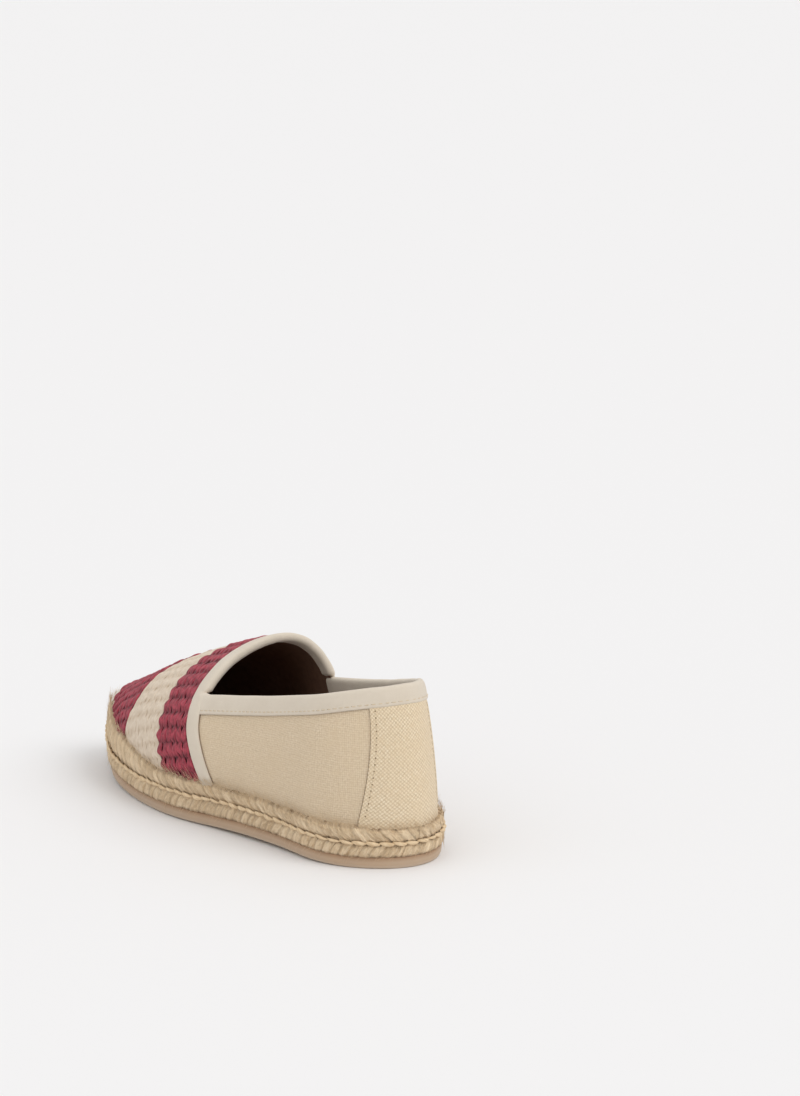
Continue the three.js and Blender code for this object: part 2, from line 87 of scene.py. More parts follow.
def curveThrough(keys, values, place):
    keys = np.asarray(keys, float)
    values = np.asarray(values, float)
    count = len(keys)
    x = np.clip(place, keys[0], keys[-1])
    i = np.clip(np.searchsorted(keys, x, side="left") - 1, 0, count - 2)
    index = np.arange(count)
    before = np.maximum(index - 1, 0)
    after = np.minimum(index + 1, count - 1)
    tangent = (values[after] - values[before]) / (keys[after] - keys[before])
    span = keys[i + 1] - keys[i]
    t = (x - keys[i]) / span
    return (
        values[i] * (1 + 2 * t) * (1 - t) ** 2
        + values[i + 1] * t * t * (3 - 2 * t)
        + span * t * (1 - t) * (tangent[i] * (1 - t) - tangent[i + 1] * t)
    )


def smoothStep(low, high, value):
    t = np.clip((value - low) / (high - low), 0, 1)
    return t * t * (3 - 2 * t)


def endRounding(along):
    fromHeel = along * shoe["length"] / shoe["heelRound"]
    fromToe = (1 - along) * shoe["length"] / shoe["toeRound"]
    heel = np.sqrt(1 - np.clip(1 - fromHeel, 0, 1) ** 2)
    power = shoe["toePower"]
    toe = (1 - np.clip(1 - fromToe, 0, 1) ** power) ** (1 / power)
    return heel * toe


def spring(along):
    t = np.clip((along - shoe["flatShare"]) / (1 - shoe["flatShare"]), 0, 1)
    return shoe["toeSpring"] * t * t


def outlinePoint(side, along, inset, height):
    along = np.clip(along, 0, 1)
    local = shoe["heelWidth"] + (shoe["ballWidth"] - shoe["heelWidth"]) * smoothStep(0.2, 0.6, along)
    half = local / 2 * curveThrough(outlineAlong, outlineWidth[side], along)
    x = shoe["toeShift"] * along ** 2 + side * (half - inset) * endRounding(along)
    y = inset + along * (shoe["length"] - 2 * inset)
    z = height + spring(along)
    return np.stack(np.broadcast_arrays(x, y, z), -1)


def ridgePoint(along):
    z = floorOfSeat + shoe["instepHeight"] * curveThrough(ridgeAlong, ridgeHeight, along)
    x = shoe["ridgeHeelShift"] + (shoe["ridgeToeShift"] - shoe["ridgeHeelShift"]) * along
    y = shoe["ridgeRear"] + (shoe["length"] - shoe["ridgeFront"] - shoe["ridgeRear"]) * along
    return np.stack(np.broadcast_arrays(x, y, z), -1)


def lastPoint(side, along, rise):
    along, rise = np.broadcast_arrays(np.clip(along, 0, 1), np.asarray(rise, float))
    foot = outlinePoint(side, along, shoe["seatInset"], seat)
    top = ridgePoint(along)
    out = foot - top
    out[..., 2] = 0
    away = out / np.linalg.norm(out, axis=-1, keepdims=True)
    bulge = shoe["instepHeight"] * curveThrough(wallAlong, wallBulge[side], along)
    low = foot + away * bulge[..., None]
    low[..., 2] += (top[..., 2] - foot[..., 2]) * curveThrough(wallAlong, wallRise[side], along)
    shoulder = curveThrough(wallAlong, wallShoulder[side], along)
    high = top + out * shoulder[..., None]
    ahead = ridgePoint(np.minimum(along + 0.02, 1))
    behind = ridgePoint(np.maximum(along - 0.02, 0))
    slope = (ahead[..., 2] - behind[..., 2]) / (ahead[..., 1] - behind[..., 1])
    high[..., 2] += slope * out[..., 1] * shoulder
    t = rise[..., None]
    return (1 - t) ** 3 * foot + 3 * (1 - t) ** 2 * t * low + 3 * (1 - t) * t * t * high + t ** 3 * top


def sideNormal(side, along, rise):
    step = 0.01
    along, rise = np.broadcast_arrays(np.clip(along, 0, 1), np.asarray(rise, float))
    turn = np.arccos(1 - 2 * along)
    onward = (1 - np.cos(np.clip(turn + step, 0, math.pi))) / 2
    backward = (1 - np.cos(np.clip(turn - step, 0, math.pi))) / 2
    forward = lastPoint(side, onward, rise) - lastPoint(side, backward, rise)
    up = lastPoint(side, along, np.minimum(rise + step, 1)) - lastPoint(side, along, np.maximum(rise - step, 0))
    normal = np.cross(forward, up) * side
    return normal / np.maximum(np.linalg.norm(normal, axis=-1, keepdims=True), 1e-9)


def skinNormal(side, along, rise):
    along, rise = np.broadcast_arrays(np.clip(along, 0, 1), np.asarray(rise, float))
    # both ends of the ridge are points with no normal of their own, so the one just below is taken
    rise = np.where((along > 0.99) | (along < 0.001), np.minimum(rise, 0.98), rise)
    normal = sideNormal(side, along, rise)
    other = sideNormal(-side, along, rise)
    atSeam = np.maximum(np.maximum(1 - along / 0.004, (along - 0.997) / 0.003), (rise - 0.97) / 0.03)
    share = (0.5 * np.clip(atSeam, 0, 1))[..., None]
    normal = normal * (1 - share) + other * share
    return normal / np.linalg.norm(normal, axis=-1, keepdims=True)


def skinPoint(side, along, rise, offset):
    along, rise, offset = np.broadcast_arrays(np.clip(along, 0, 1), rise, offset)
    return lastPoint(side, along, rise) + skinNormal(side, along, rise) * offset[..., None]


def bisect(low, high, isBelow, rounds=24):
    for _ in range(rounds):
        middle = (low + high) / 2
        below = isBelow(middle)
        low, high = np.where(below, middle, low), np.where(below, high, middle)
    return (low + high) / 2


def riseAtHeight(side, along, height):
    along, height = np.broadcast_arrays(np.asarray(along, float), np.asarray(height, float))
    return bisect(np.zeros(along.shape), 1.0, lambda rise: lastPoint(side, along, rise)[..., 2] < height)


def collarRise(side, along, down):
    height = floorOfSeat + shoe["collarHeelHeight"] * curveThrough(collarAlong, collarHeight, along)
    return riseAtHeight(side, along, height - down)


def throatAlong(side, rise):
    return curveThrough(throatRise, throatPlace[side], rise)


def aheadOfThroat(side, rise, distance):
    start = throatAlong(side, rise)
    reach = np.linalg.norm(lastPoint(side, start + 0.01, rise) - lastPoint(side, start, rise), axis=-1)
    return start + distance * 0.01 / reach


def junctionRise(side):
    return float(bisect(0.0, 1.0, lambda rise: rise < collarRise(side, throatAlong(side, rise), 0), 30))


# meshes from nets of points
def gridFaces(rows, columns, first=0, closeRows=False, closeColumns=False, flip=False):
    r = np.arange(rows if closeRows else rows - 1)
    c = np.arange(columns if closeColumns else columns - 1)
    r, c = np.meshgrid(r, c, indexing="ij")
    nextR = (r + 1) % rows
    nextC = (c + 1) % columns
    quads = np.stack([r * columns + c, r * columns + nextC, nextR * columns + nextC, nextR * columns + c], -1)
    quads = quads.reshape(-1, 4) + first
    return quads[:, ::-1] if flip else quads


def addPiece(name, points, faces, material, uv=None, values=None, node=None, slot=None):
    points = np.asarray(points, float).reshape(-1, 3)
    points = (points - [shoe["middleX"], shoe["middleY"], 0]) * 0.001
    faces = np.asarray(faces, np.int32)
    corners = faces.shape[1]
    mesh = bpy.data.meshes.new(name)
    mesh.vertices.add(len(points))
    mesh.vertices.foreach_set("co", points.astype(np.float32).ravel())
    mesh.loops.add(faces.size)
    mesh.loops.foreach_set("vertex_index", faces.ravel())
    mesh.polygons.add(len(faces))
    mesh.polygons.foreach_set("loop_start", np.arange(len(faces), dtype=np.int32) * corners)
    mesh.polygons.foreach_set("use_smooth", np.ones(len(faces), bool))
    if uv is not None:
        layer = mesh.uv_layers.new(name="cloth")
        layer.data.foreach_set("uv", np.asarray(uv, np.float32).reshape(-1, 2)[faces.ravel()].ravel())
    for key, data in (values or {}).items():
        attribute = mesh.attributes.new(key, "FLOAT", "POINT")
        attribute.data.foreach_set("value", np.asarray(data, np.float32).ravel())
    mesh.update(calc_edges=True)
    mesh.validate()
    mesh.materials.append(material)
    piece = bpy.data.objects.new(name, mesh)
    bpy.context.scene.collection.objects.link(piece)
    if node:
        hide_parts(node)
    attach(piece, "root")


def runLength(points, axis):
    steps = np.linalg.norm(np.diff(points, axis=axis), axis=-1)
    start = np.zeros_like(np.take(steps, [0], axis=axis))
    return np.cumsum(np.concatenate([start, steps], axis=axis), axis=axis)


def between(place, keys, table):
    return np.stack([np.interp(place, keys, column) for column in table.T], -1)


def unit(v):
    return v / np.maximum(np.linalg.norm(v, axis=-1, keepdims=True), 1e-9)


def clothUv(net, column=None):
    # cloth coordinates in millimetres, the first one measured along one column of the net
    u = runLength(net[:, net.shape[1] // 2 if column is None else column], 0)
    return np.stack(np.broadcast_arrays(u[:, None], runLength(net, 1)), -1)


def sheetPart(net, flip):
    return net, gridFaces(*net.shape[:2], flip=flip), clothUv(net)


def tubePart(net, turn=np.zeros(1), run=np.zeros(1), flip=False):
    # cloth coordinates round the tube and along it
    uv = np.zeros((*net.shape[:2], 2))
    uv[..., 0], uv[..., 1] = turn[None, :], run[:, None]
    return net, gridFaces(*net.shape[:2], closeColumns=True, flip=flip), uv


def addNets(name, nets, material, **more):
    points, faces, uvs, first = [], [], [], 0
    for net, quads, uv in nets:
        points.append(net.reshape(-1, 3))
        uvs.append(uv.reshape(-1, 2))
        faces.append(quads + first)
        first += len(points[-1])
    addPiece(name, np.concatenate(points), np.concatenate(faces), material, uv=np.concatenate(uvs), **more)


def noiseCurve(seed, length, waves, strength):
    source = np.random.default_rng(seed)
    x = np.linspace(0, 1, length)
    total = np.zeros(length)
    for k in range(1, waves + 1):
        total += source.normal() * np.sin(2 * math.pi * k * x + source.uniform(0, 6.3)) / math.sqrt(waves)
    return total * strength


# materials
class Wire:
    def __init__(self, look, socket):
        self.look = look
        self.socket = socket

    def math(self, operation, *others, clamp=False):
        return self.look.math(operation, self, *others, clamp=clamp)

    def clamped(self, scale=1.0, shift=0.0):
        return self.math("MULTIPLY_ADD", scale, shift, clamp=True)

    def __add__(self, other):
        return self.math("ADD", other)

    def __radd__(self, other):
        return self.look.math("ADD", other, self)

    def __sub__(self, other):
        return self.math("SUBTRACT", other)

    def __rsub__(self, other):
        return self.look.math("SUBTRACT", other, self)

    def __mul__(self, other):
        return self.math("MULTIPLY", other)

    def __rmul__(self, other):
        return self.look.math("MULTIPLY", other, self)

    def __truediv__(self, other):
        return self.math("DIVIDE", other)


class Look:
    def __init__(self, name, roughness=0.8, specular=0.3, sheen=0.0):
        self.material = bpy.data.materials.new(name)
        self.material.use_nodes = True
        self.tree = self.material.node_tree
        self.shader = self.tree.nodes["Principled BSDF"]
        self.shader.inputs["Roughness"].default_value = roughness
        self.shader.inputs["Specular IOR Level"].default_value = specular
        self.shader.inputs["Sheen Weight"].default_value = sheen
        self.shader.inputs["Sheen Roughness"].default_value = 0.6

    def node(self, kind, settings=None, sockets=None, output=0):
        made = self.tree.nodes.new(kind)
        for key, value in (settings or {}).items():
            setattr(made, key, value)
        for key, value in (sockets or {}).items():
            self.feed(made.inputs[key], value)
        return Wire(self, made.outputs[output])

    def feed(self, socket, value):
        if isinstance(value, Wire):
            self.tree.links.new(value.socket, socket)
        elif isinstance(value, (tuple, list)):
            size = len(socket.default_value)
            socket.default_value = (*value, 1)[:size] if len(value) < size else value
        else:
            socket.default_value = value

    def math(self, operation, *values, clamp=False):
        settings = {"operation": operation, "use_clamp": clamp}
        return self.node("ShaderNodeMath", settings, dict(enumerate(values)))

    def mixColor(self, share, first, second, blend="MIX"):
        settings = {"data_type": "RGBA", "blend_type": blend, "clamp_factor": True}
        return self.node("ShaderNodeMix", settings, {0: share, 6: first, 7: second}, output=2)

    def value(self, name):
        return self.node("ShaderNodeAttribute", {"attribute_name": name}, output=2)

    def cloth(self):
        vector = self.node("ShaderNodeUVMap", {"uv_map": "cloth"})
        split = self.tree.nodes.new("ShaderNodeSeparateXYZ")
        self.tree.links.new(vector.socket, split.inputs[0])
        return Wire(self, split.outputs[0]), Wire(self, split.outputs[1])

    def place(self):
        return self.node("ShaderNodeTexCoord", output=3)

    def point(self, x, y):
        return self.node("ShaderNodeCombineXYZ", None, {0: x, 1: y})

    def noise(self, vector, scale, detail=2.0, roughness=0.5):
        sockets = {"Vector": vector, "Scale": scale, "Detail": detail, "Roughness": roughness}
        return self.node("ShaderNodeTexNoise", None, sockets)

    def fibres(self, u, v, detail=2.0, roughness=0.5):
        return self.noise(self.point(u, v), 1.0, detail, roughness)

    def color(self, value):
        self.feed(self.shader.inputs["Base Color"], value)

    def bump(self, height, distance, strength=1.0, under=None):
        sockets = {"Height": height, "Distance": distance, "Strength": strength}
        if under is not None:
            sockets["Normal"] = under
        made = self.node("ShaderNodeBump", None, sockets)
        self.feed(self.shader.inputs["Normal"], made)
        return made


def rgb(red, green, blue):
    def linear(c):
        c = c / 255
        return c / 12.92 if c <= 0.04045 else ((c + 0.055) / 1.055) ** 2.4
    return (linear(red), linear(green), linear(blue))


def wovenHeight(u, v):
    cellU, cellV = u.math("FLOOR"), v.math("FLOOR")
    checker = (cellU + cellV).math("FLOORED_MODULO", 2.0)
    warp = ((u - cellU) * math.pi).math("SINE")
    weft = ((v - cellV) * math.pi).math("SINE")
    over = warp * (0.45 + 0.55 * weft)
    under = weft * (0.45 + 0.55 * warp)
    return over * checker + under * (1 - checker), checker


canvas = {
    # painted shade: the dark brown of a shadow line along the heel panel's edge, where it meets the quarter
    "seam": rgb(132, 104, 74),
    "quarter": {
        "pitch": 1.02,  # of the threads, millimetres
        "turned": False,
        "wobble": (1.8, 1.5),
        "slub": (1.8, 0.85),
        "depth": 0.00012,
        "light": rgb(229, 211, 184),
        "dark": rgb(206, 184, 154),
        "warm": rgb(216, 194, 162),
    },
    "panel": {
        "pitch": 1.25,
        "turned": True,  # cut on the bias
        "wobble": (0.8, 0.7),
        "slub": (0.9, 0.4),
        "depth": 0.00018,
        "light": rgb(242, 226, 199),
        "dark": rgb(198, 174, 140),
        "warm": rgb(224, 201, 167),
    },
}


def canvasLook(kind):
    cloth = canvas[kind]
    look = Look(kind + " canvas", roughness=0.85, specular=0.2, sheen=0.15)
    u, v = look.cloth()
    if cloth["turned"]:
        u, v = (u + v) * 0.7071, (v - u) * 0.7071
    wobble = look.fibres(u * 0.12, v * 0.12) - 0.5
    uThread = u / cloth["pitch"] + wobble * cloth["wobble"][0]
    vThread = v / cloth["pitch"] + wobble * cloth["wobble"][1]
    height, checker = wovenHeight(uThread, vThread)
    streakU = look.fibres(uThread.math("FLOOR") * 3.7, v * 0.1, 1.0)
    streakV = look.fibres(u * 0.1, vThread.math("FLOOR") * 3.1 + 40.0, 1.0)
    streak = (streakU * checker + streakV * (1 - checker)).clamped(2.6, -0.8)
    patch = look.noise(look.place(), 60.0, 3.0)
    slub = look.fibres(uThread * 0.9, vThread * 0.9 + 70.0)
    # painted shade: the weave's low points take the dark colour and the crests the light one; the slub adds the
    # threads' own uneven tone
    share = height * 0.8 + slub * cloth["slub"][0] - cloth["slub"][1]
    body = look.mixColor(share.clamped(1.4, -0.05), cloth["dark"], cloth["light"])
    body = look.mixColor(streak * 0.6, body, cloth["warm"])
    body = look.mixColor((patch - 0.5).clamped(0.8, 0.1), body, cloth["warm"])
    # painted shade: where the seam value is set, the colour turns to the dark brown shadow line
    look.color(look.mixColor(look.value("seam"), body, canvas["seam"]))
    look.bump(height, cloth["depth"], 0.9)
    return look.material


# the tape's seam colour is painted shade: a shadow line on the tapes' edge faces
tape = {"pitch": 0.45, "light": rgb(229, 218, 202), "dark": rgb(206, 192, 172), "seam": rgb(124, 98, 74)}


def tapeLook():
    look = Look("binding tape", roughness=0.85, specular=0.2, sheen=0.2)
    u, v = look.cloth()
    height, _ = wovenHeight(u / tape["pitch"], v / tape["pitch"])
    patch = look.noise(look.place(), 90.0, 3.0)
    # painted shade: the weave's low points take the dark colour; the patches add uneven tone
    body = look.mixColor(height * 0.6 + patch * 0.5, tape["dark"], tape["light"])
    # painted shade on the tapes' edge faces, where the seam value is set
    look.color(look.mixColor(look.value("seam"), body, tape["seam"]))
    soft = look.fibres(u * 0.25, v * 0.12)
    first = look.bump(soft, 0.0006, 0.5)
    look.bump(height, 0.00008, 0.6, first)
    return look.material


cordLooks = {
    "burgundy": {"light": rgb(180, 66, 82), "dark": rgb(78, 10, 24)},
    "offWhite": {"light": rgb(228, 212, 192), "dark": rgb(204, 184, 160)},
}


def cordLook(name, light, dark):
    look = Look(name, roughness=0.7, specular=0.35, sheen=0.1)
    u, v = look.cloth()
    lift = look.value("lift")
    streak = look.fibres(u * 5.0, v * 0.25, 3.0, 0.6)
    slit = look.fibres(u * 9.0, v * 0.45 + 30.0, 2.0)
    # painted light and shade: the crests (high lift) are lighter and the valleys between them darker; streak and
    # slit add fibre marks
    share = (lift * 0.5 + streak * 1.3 + slit * 1.5 - 1.15).clamped()
    look.color(look.mixColor(share, dark, light))
    look.bump(streak + slit, 0.00035, 0.9)
    return look.material


def plainLook(name, light, dark, roughness, scale, depth=0.0, specular=0.25):
    look = Look(name, roughness=roughness, specular=specular)
    patch = look.noise(look.place(), scale, 3.0)
    look.color(look.mixColor(patch, dark, light))
    if depth:
        look.bump(patch, depth, 0.6)
    return look.material


# the dark colour serves the painted shade of the plait's grooves and the dark slits of the noise
jute = {"light": rgb(253, 230, 196), "mid": rgb(218, 187, 146), "dark": rgb(104, 70, 40)}


def juteLook():
    look = Look("jute plait", roughness=0.9, specular=0.2, sheen=0.1)
    u, v = look.cloth()
    groove, tone = look.value("groove"), look.value("tone")
    fine = look.fibres(u * 4.5, v * 0.35, 3.0, 0.6)
    broad = look.fibres(u * 1.3, v * 0.16 + 9.0, 3.0, 0.6)
    share = (fine * 2.2 + broad * 1.6 + tone * 0.5 - 1.6).clamped()
    body = look.mixColor(share, jute["mid"], jute["light"])
    slit = (broad - 0.62).clamped(3.0)
    # painted shade: the shade value darkens the grooves between strands, the line along the chain, the rows' outer
    # edges and the chain's joints
    body = look.mixColor((groove * 0.8 + slit * 0.25).clamped(), body, jute["dark"])
    look.color(body)
    look.bump(fine + broad, 0.0006, 0.9)
    return look.material


rubber = {
    "warm": rgb(194, 162, 130),
    "grey": rgb(184, 166, 146),
    # painted shade under the plait
    "top": rgb(154, 112, 76),
    # painted reflection along the bottom edge
    "foot": rgb(214, 200, 182),
}


def rubberLook():
    look = Look("outsole rubber", roughness=0.5, specular=0.4)
    place = look.place()
    cloud = look.noise(place, 24.0, 3.0)
    speck = look.noise(place, 900.0, 2.0)
    level = look.value("level")
    body = look.mixColor(cloud, rubber["warm"], rubber["grey"])
    # painted shade towards the top, under the plait, and a painted reflection along the bottom edge
    body = look.mixColor(((level - 0.55) * 1.6).clamped(), body, rubber["top"])
    body = look.mixColor((0.35 - level).clamped(1.6), body, rubber["foot"])
    look.color(body)
    look.bump(speck, 0.0001, 0.5)
    return look.material


quarterCanvas = canvasLook("quarter")
panelCanvas = canvasLook("panel")
bindingTape = tapeLook()
burgundyCord = cordLook("burgundy cord", **cordLooks["burgundy"])
whiteCord = cordLook("off-white cord", **cordLooks["offWhite"])
juteFibre = juteLook()
outsoleRubber = rubberLook()
lining = plainLook("dark lining", rgb(128, 98, 80), rgb(98, 72, 58), 0.9, 300.0, 0.0002, 0.15)
thread = plainLook("stitch thread", rgb(224, 208, 182), rgb(200, 180, 148), 0.8, 900.0)
holeShade = plainLook("stitch hole", rgb(150, 124, 94), rgb(116, 92, 66), 0.95, 900.0)
print("materials made")

# the sole's lines against the even ones of the solids, from heel to toe: rubber, seam and upper edge of the plait
sagAlong = [0, 0.08, 0.2, 0.35, 0.5, 1]
footSag = [0, 0, 1.2, 1.5, 0.5, 0]
seamSag = [-1.5, -1.0, 0.5, 1.2, 0.3, 0]
edgeSag = [-1.9, -1.1, -0.2, 0.3, 0.3, 0.4]


def sagAt(table, point):
    return curveThrough(sagAlong, table, np.clip(point[..., 1] / shoe["length"], 0, 1))


# outsole: rubber with rounded edges
outsoleShape = {"steps": 220, "edge": 0.9, "belly": 0.35}


def soleRing(steps, inset, height):
    along = (1 - np.cos(np.linspace(0, math.pi, steps + 1))) / 2
    back = outlinePoint(inner, along[1:-1], inset, height)[::-1]
    return np.concatenate([outlinePoint(outer, along, inset, height), back])


def stackedRings(rings):
    count = len(rings[0])
    net = np.stack(rings)
    faces = [gridFaces(len(rings), count, closeColumns=True)]
    half = count // 2
    for k, flip in ((0, False), (len(rings) - 1, True)):
        left = np.arange(0, half + 1) + k * count
        right = np.concatenate([[0], np.arange(count - 1, half - 1, -1)]) + k * count
        quads = np.stack([left[:-1], left[1:], right[1:], right[:-1]], -1)
        faces.append(quads if flip else quads[:, ::-1])
    return net.reshape(-1, 3), np.concatenate(faces)


def buildOutsole():
    thick, edge, belly = shoe["outsoleThickness"], outsoleShape["edge"], outsoleShape["belly"]
    levels = [(edge, 0.0), (edge * 0.3, edge * 0.3), (0, edge), (-belly * 0.8, thick * 0.4), (-belly, thick * 0.65),
              (-belly * 0.6, thick * 0.9), (0.15, thick + 0.1)]
    rings = [soleRing(outsoleShape["steps"], shoe["outsoleInset"] + inset, height) for inset, height in levels]
    rings = [ring + [0, 0, 1] * np.maximum(sagAt(footSag, ring), 0)[:, None] for ring in rings]
    points, faces = stackedRings(rings)
    level = np.repeat([h / thick for _, h in levels], len(rings[0]))
    addPiece("outsole_rubber", points, faces, outsoleRubber, values={"level": level}, node="outsole",
             slot="outsole_rubber")


buildOutsole()
print("outsole made")

# jute plait round the edge
plait = {
    "pitchTop": 6.4,  # strands of the upper row, measured along the edge
    "pitchFoot": 4.9,
    "leanTop": 7.5,
    "leanFoot": 4.6,
    "swellTop": 0.62,
    "swellFoot": 1.05,
    "fibre": 0.21,
    "step": 0.46,
    "foot": 5.3,  # heights of the rows' borders
    "seam": 13.2,
    "top": 20.6,
    "toeRaise": 6.4,  # the upper row climbs over the canvas round the toe
    "toeLean": 0.14,
}
# the plait's section: outwards, height
plaitSection = [
    (-6.0, 5.6), (-2.8, 5.3), (-1.4, 5.5), (-0.65, 6.8), (-0.4, 8.8), (-0.6, 10.7), (-1.1, 12.2), (-1.9, 13.2),
    (-1.2, 14.1), (-0.6, 15.4), (-0.4, 16.9), (-0.7, 18.3), (-1.5, 19.4), (-2.6, 20.2), (-4.0, 20.6), (-6.5, 20.7),
]


def outlineLoop(step):
    loop = soleRing(1499, 0, 0)
    closed = np.concatenate([loop, loop[:1]])
    run = runLength(closed[:, :2], 0)
    total = run[-1]
    count = int(round(total / step))
    t = np.arange(count) * total / count
    point = between(t, run, closed)
    ahead = np.roll(point, -3, axis=0) - np.roll(point, 3, axis=0)
    away = np.stack([-ahead[:, 1], ahead[:, 0]], -1)
    away = away / np.linalg.norm(away, axis=-1, keepdims=True)
    return t, total, point, away


def sectionNet(rows):
    table = np.array(plaitSection)
    run = runLength(table, 0)
    s = np.linspace(0, run[-1], rows)
    out = curveThrough(run, table[:, 0], s)
    height = curveThrough(run, table[:, 1], s)
    return s, out, height


def strandNoise(seed, place):
    table = np.random.default_rng(seed).normal(0, 1, 4096)
    index = np.floor(place).astype(int)
    share = place - index
    share = share * share * (3 - 2 * share)
    return table[index % 4096] * (1 - share) + table[(index + 1) % 4096] * share


def strandRow(lean, pitch, total, seed, T):
    count = round(total / pitch)
    source = np.random.default_rng(seed)
    borders = (np.arange(count) + source.normal(0, 0.13, count)) * total / count
    place = np.mod(T - lean, total)
    index = (np.searchsorted(borders, place, side="right") - 1) % count
    low = borders[index]
    high = np.where(index == count - 1, borders[0] + total, borders[(index + 1) % count])
    u = np.clip(np.mod(place - low, total) / (high - low), 0, 1) * 2 - 1
    depth = 0.45 + 0.55 * source.random(count)[index]
    return u, depth, source.normal(0, 1, count)[index]


def toeClimb(point):
    return smoothStep(145, 205, point[:, 1]) * (1 - 0.55 * smoothStep(218, 250, point[:, 1]))


def buildPlait():
    t, total, point, away = outlineLoop(plait["step"])
    s, out, height = sectionNet(64)
    seam = plait["seam"]
    T, H = np.meshgrid(t, height, indexing="ij")
    upper = H > seam
    climb = np.where(upper, (H - seam) / (plait["top"] - seam), (seam - H) / (seam - plait["foot"]))
    climb = np.clip(climb, 0, 1)
    lean = np.where(upper, plait["leanTop"] * climb ** 0.85, plait["leanFoot"] * climb ** 0.8)
    lean = lean + 0.5 * strandNoise(3, T / 9.0) * climb
    uTop, depthTop, toneTop = strandRow(lean, plait["pitchTop"], total, 5, T)
    uFoot, depthFoot, toneFoot = strandRow(lean, plait["pitchFoot"], total, 6, T)
    u = np.where(upper, uTop, uFoot)
    depth = np.where(upper, depthTop, depthFoot)
    tone = np.where(upper, toneTop, toneFoot)
    profile = np.sqrt(np.clip(1 - np.abs(u) ** 2.4, 0, 1))
    ends = np.clip(climb * 6, 0, 1) * np.clip((1 - climb) * 4, 0, 1)
    swell = np.where(upper, plait["swellTop"], plait["swellFoot"]) * (profile * depth + 0.12 * tone - 0.6) * ends
    across = T - lean
    run = climb * 9 + np.where(upper, 0, 60.0)
    fibre = strandNoise(8, across * 2.3 + run * 0.12) + 0.6 * strandNoise(9, across * 1.1 - run * 0.15 + 500)
    swell = swell + plait["fibre"] * fibre * np.clip(ends + 0.35, 0, 1)
    tangentOut = np.gradient(out, s)
    tangentUp = np.gradient(height, s)
    size = np.hypot(tangentOut, tangentUp)
    outward = out[None, :] + tangentUp[None, :] / size[None, :] * swell
    z = height[None, :] - tangentOut[None, :] / size[None, :] * swell
    raised = plait["toeRaise"] * toeClimb(point)[:, None] * np.where(upper, climb, 0)
    z = z + sagAt(seamSag, point)[:, None] * (1 - climb)
    z = z + np.where(upper, sagAt(edgeSag, point)[:, None], sagAt(footSag, point)[:, None]) * climb
    z = z + raised + np.where(upper, 0.22 * strandNoise(12, T / 1.7) * climb, 0)
    outward = outward - plait["toeLean"] * raised * climb
    net = np.zeros((*T.shape, 3))
    net[..., 0] = point[:, None, 0] + away[:, None, 0] * outward
    net[..., 1] = point[:, None, 1] + away[:, None, 1] * outward
    net[..., 2] = point[:, None, 2] + z
    nearSeam = np.clip(1 - climb * 3.2, 0, 1)
    # painted shade: darker in the grooves between the strands, along the chain seam, at the rows' outer edges and in
    # spots at the chain's joints
    groove = np.clip(1 - profile * 1.15, 0, 1) * depth * np.where(upper, 0.45 + 0.55 * nearSeam, 0.6)
    groove = groove + np.clip(1 - climb * 8, 0, 1) * 0.3
    foot = np.clip((climb - 0.8) * 7, 0, 1)
    groove = groove + foot * np.where(upper, 0.35, 0.45) + foot * 0.5 * np.clip(strandNoise(15, T / 1.3), 0, 1)
    joint = np.abs(np.mod(T / chain["pitch"] + 0.5, 1) - 0.5) * chain["pitch"]
    groove = groove + 1.4 * np.exp(-(joint / 0.8) ** 2 - ((H - seam) / 1.3) ** 2)
    uv = np.stack([across, run], -1)
    faces = gridFaces(len(t), len(s), closeRows=True)
    values = {"groove": groove, "tone": tone * 0.12 + 0.5}
    addPiece("jute_plait", net, faces, juteFibre, uv=uv, values=values, node="braided_midsole", slot="jute_braid")
    return t, total, point, away


chain = {"pitch": 6.3, "half": 0.95, "reach": 1.12, "out": -0.9, "height": 13.3, "rings": 14, "corners": 10}
loopT, loopTotal, loopPoint, loopAway = buildPlait()
print("plait made")


def loopPlace(t, out, height):
    t = np.mod(t, loopTotal)
    ring = np.append(loopT, loopTotal)
    place = between(t, ring, np.concatenate([loopPoint, loopPoint[:1]]))
    away = between(t, ring, np.concatenate([loopAway, loopAway[:1]]))
    x, y = place[..., 0] + away[..., 0] * out, place[..., 1] + away[..., 1] * out
    return np.stack([x, y, place[..., 2] + height], -1)


def tubeNet(centre, side, up, halfSide, halfUp, corners=8, crease=0.0):
    # a crease makes two strands side by side of it
    turn = np.linspace(0, 2 * math.pi, corners, endpoint=False)
    c, s = np.cos(turn), np.sin(turn)
    s = np.where(s > 0, s * (1 - crease * np.exp(-((c / 0.3) ** 2))), s)
    return (centre[:, None, :] + side[:, None, :] * (halfSide[:, None] * c)[..., None]
            + up[:, None, :] * (halfUp[:, None] * s)[..., None])


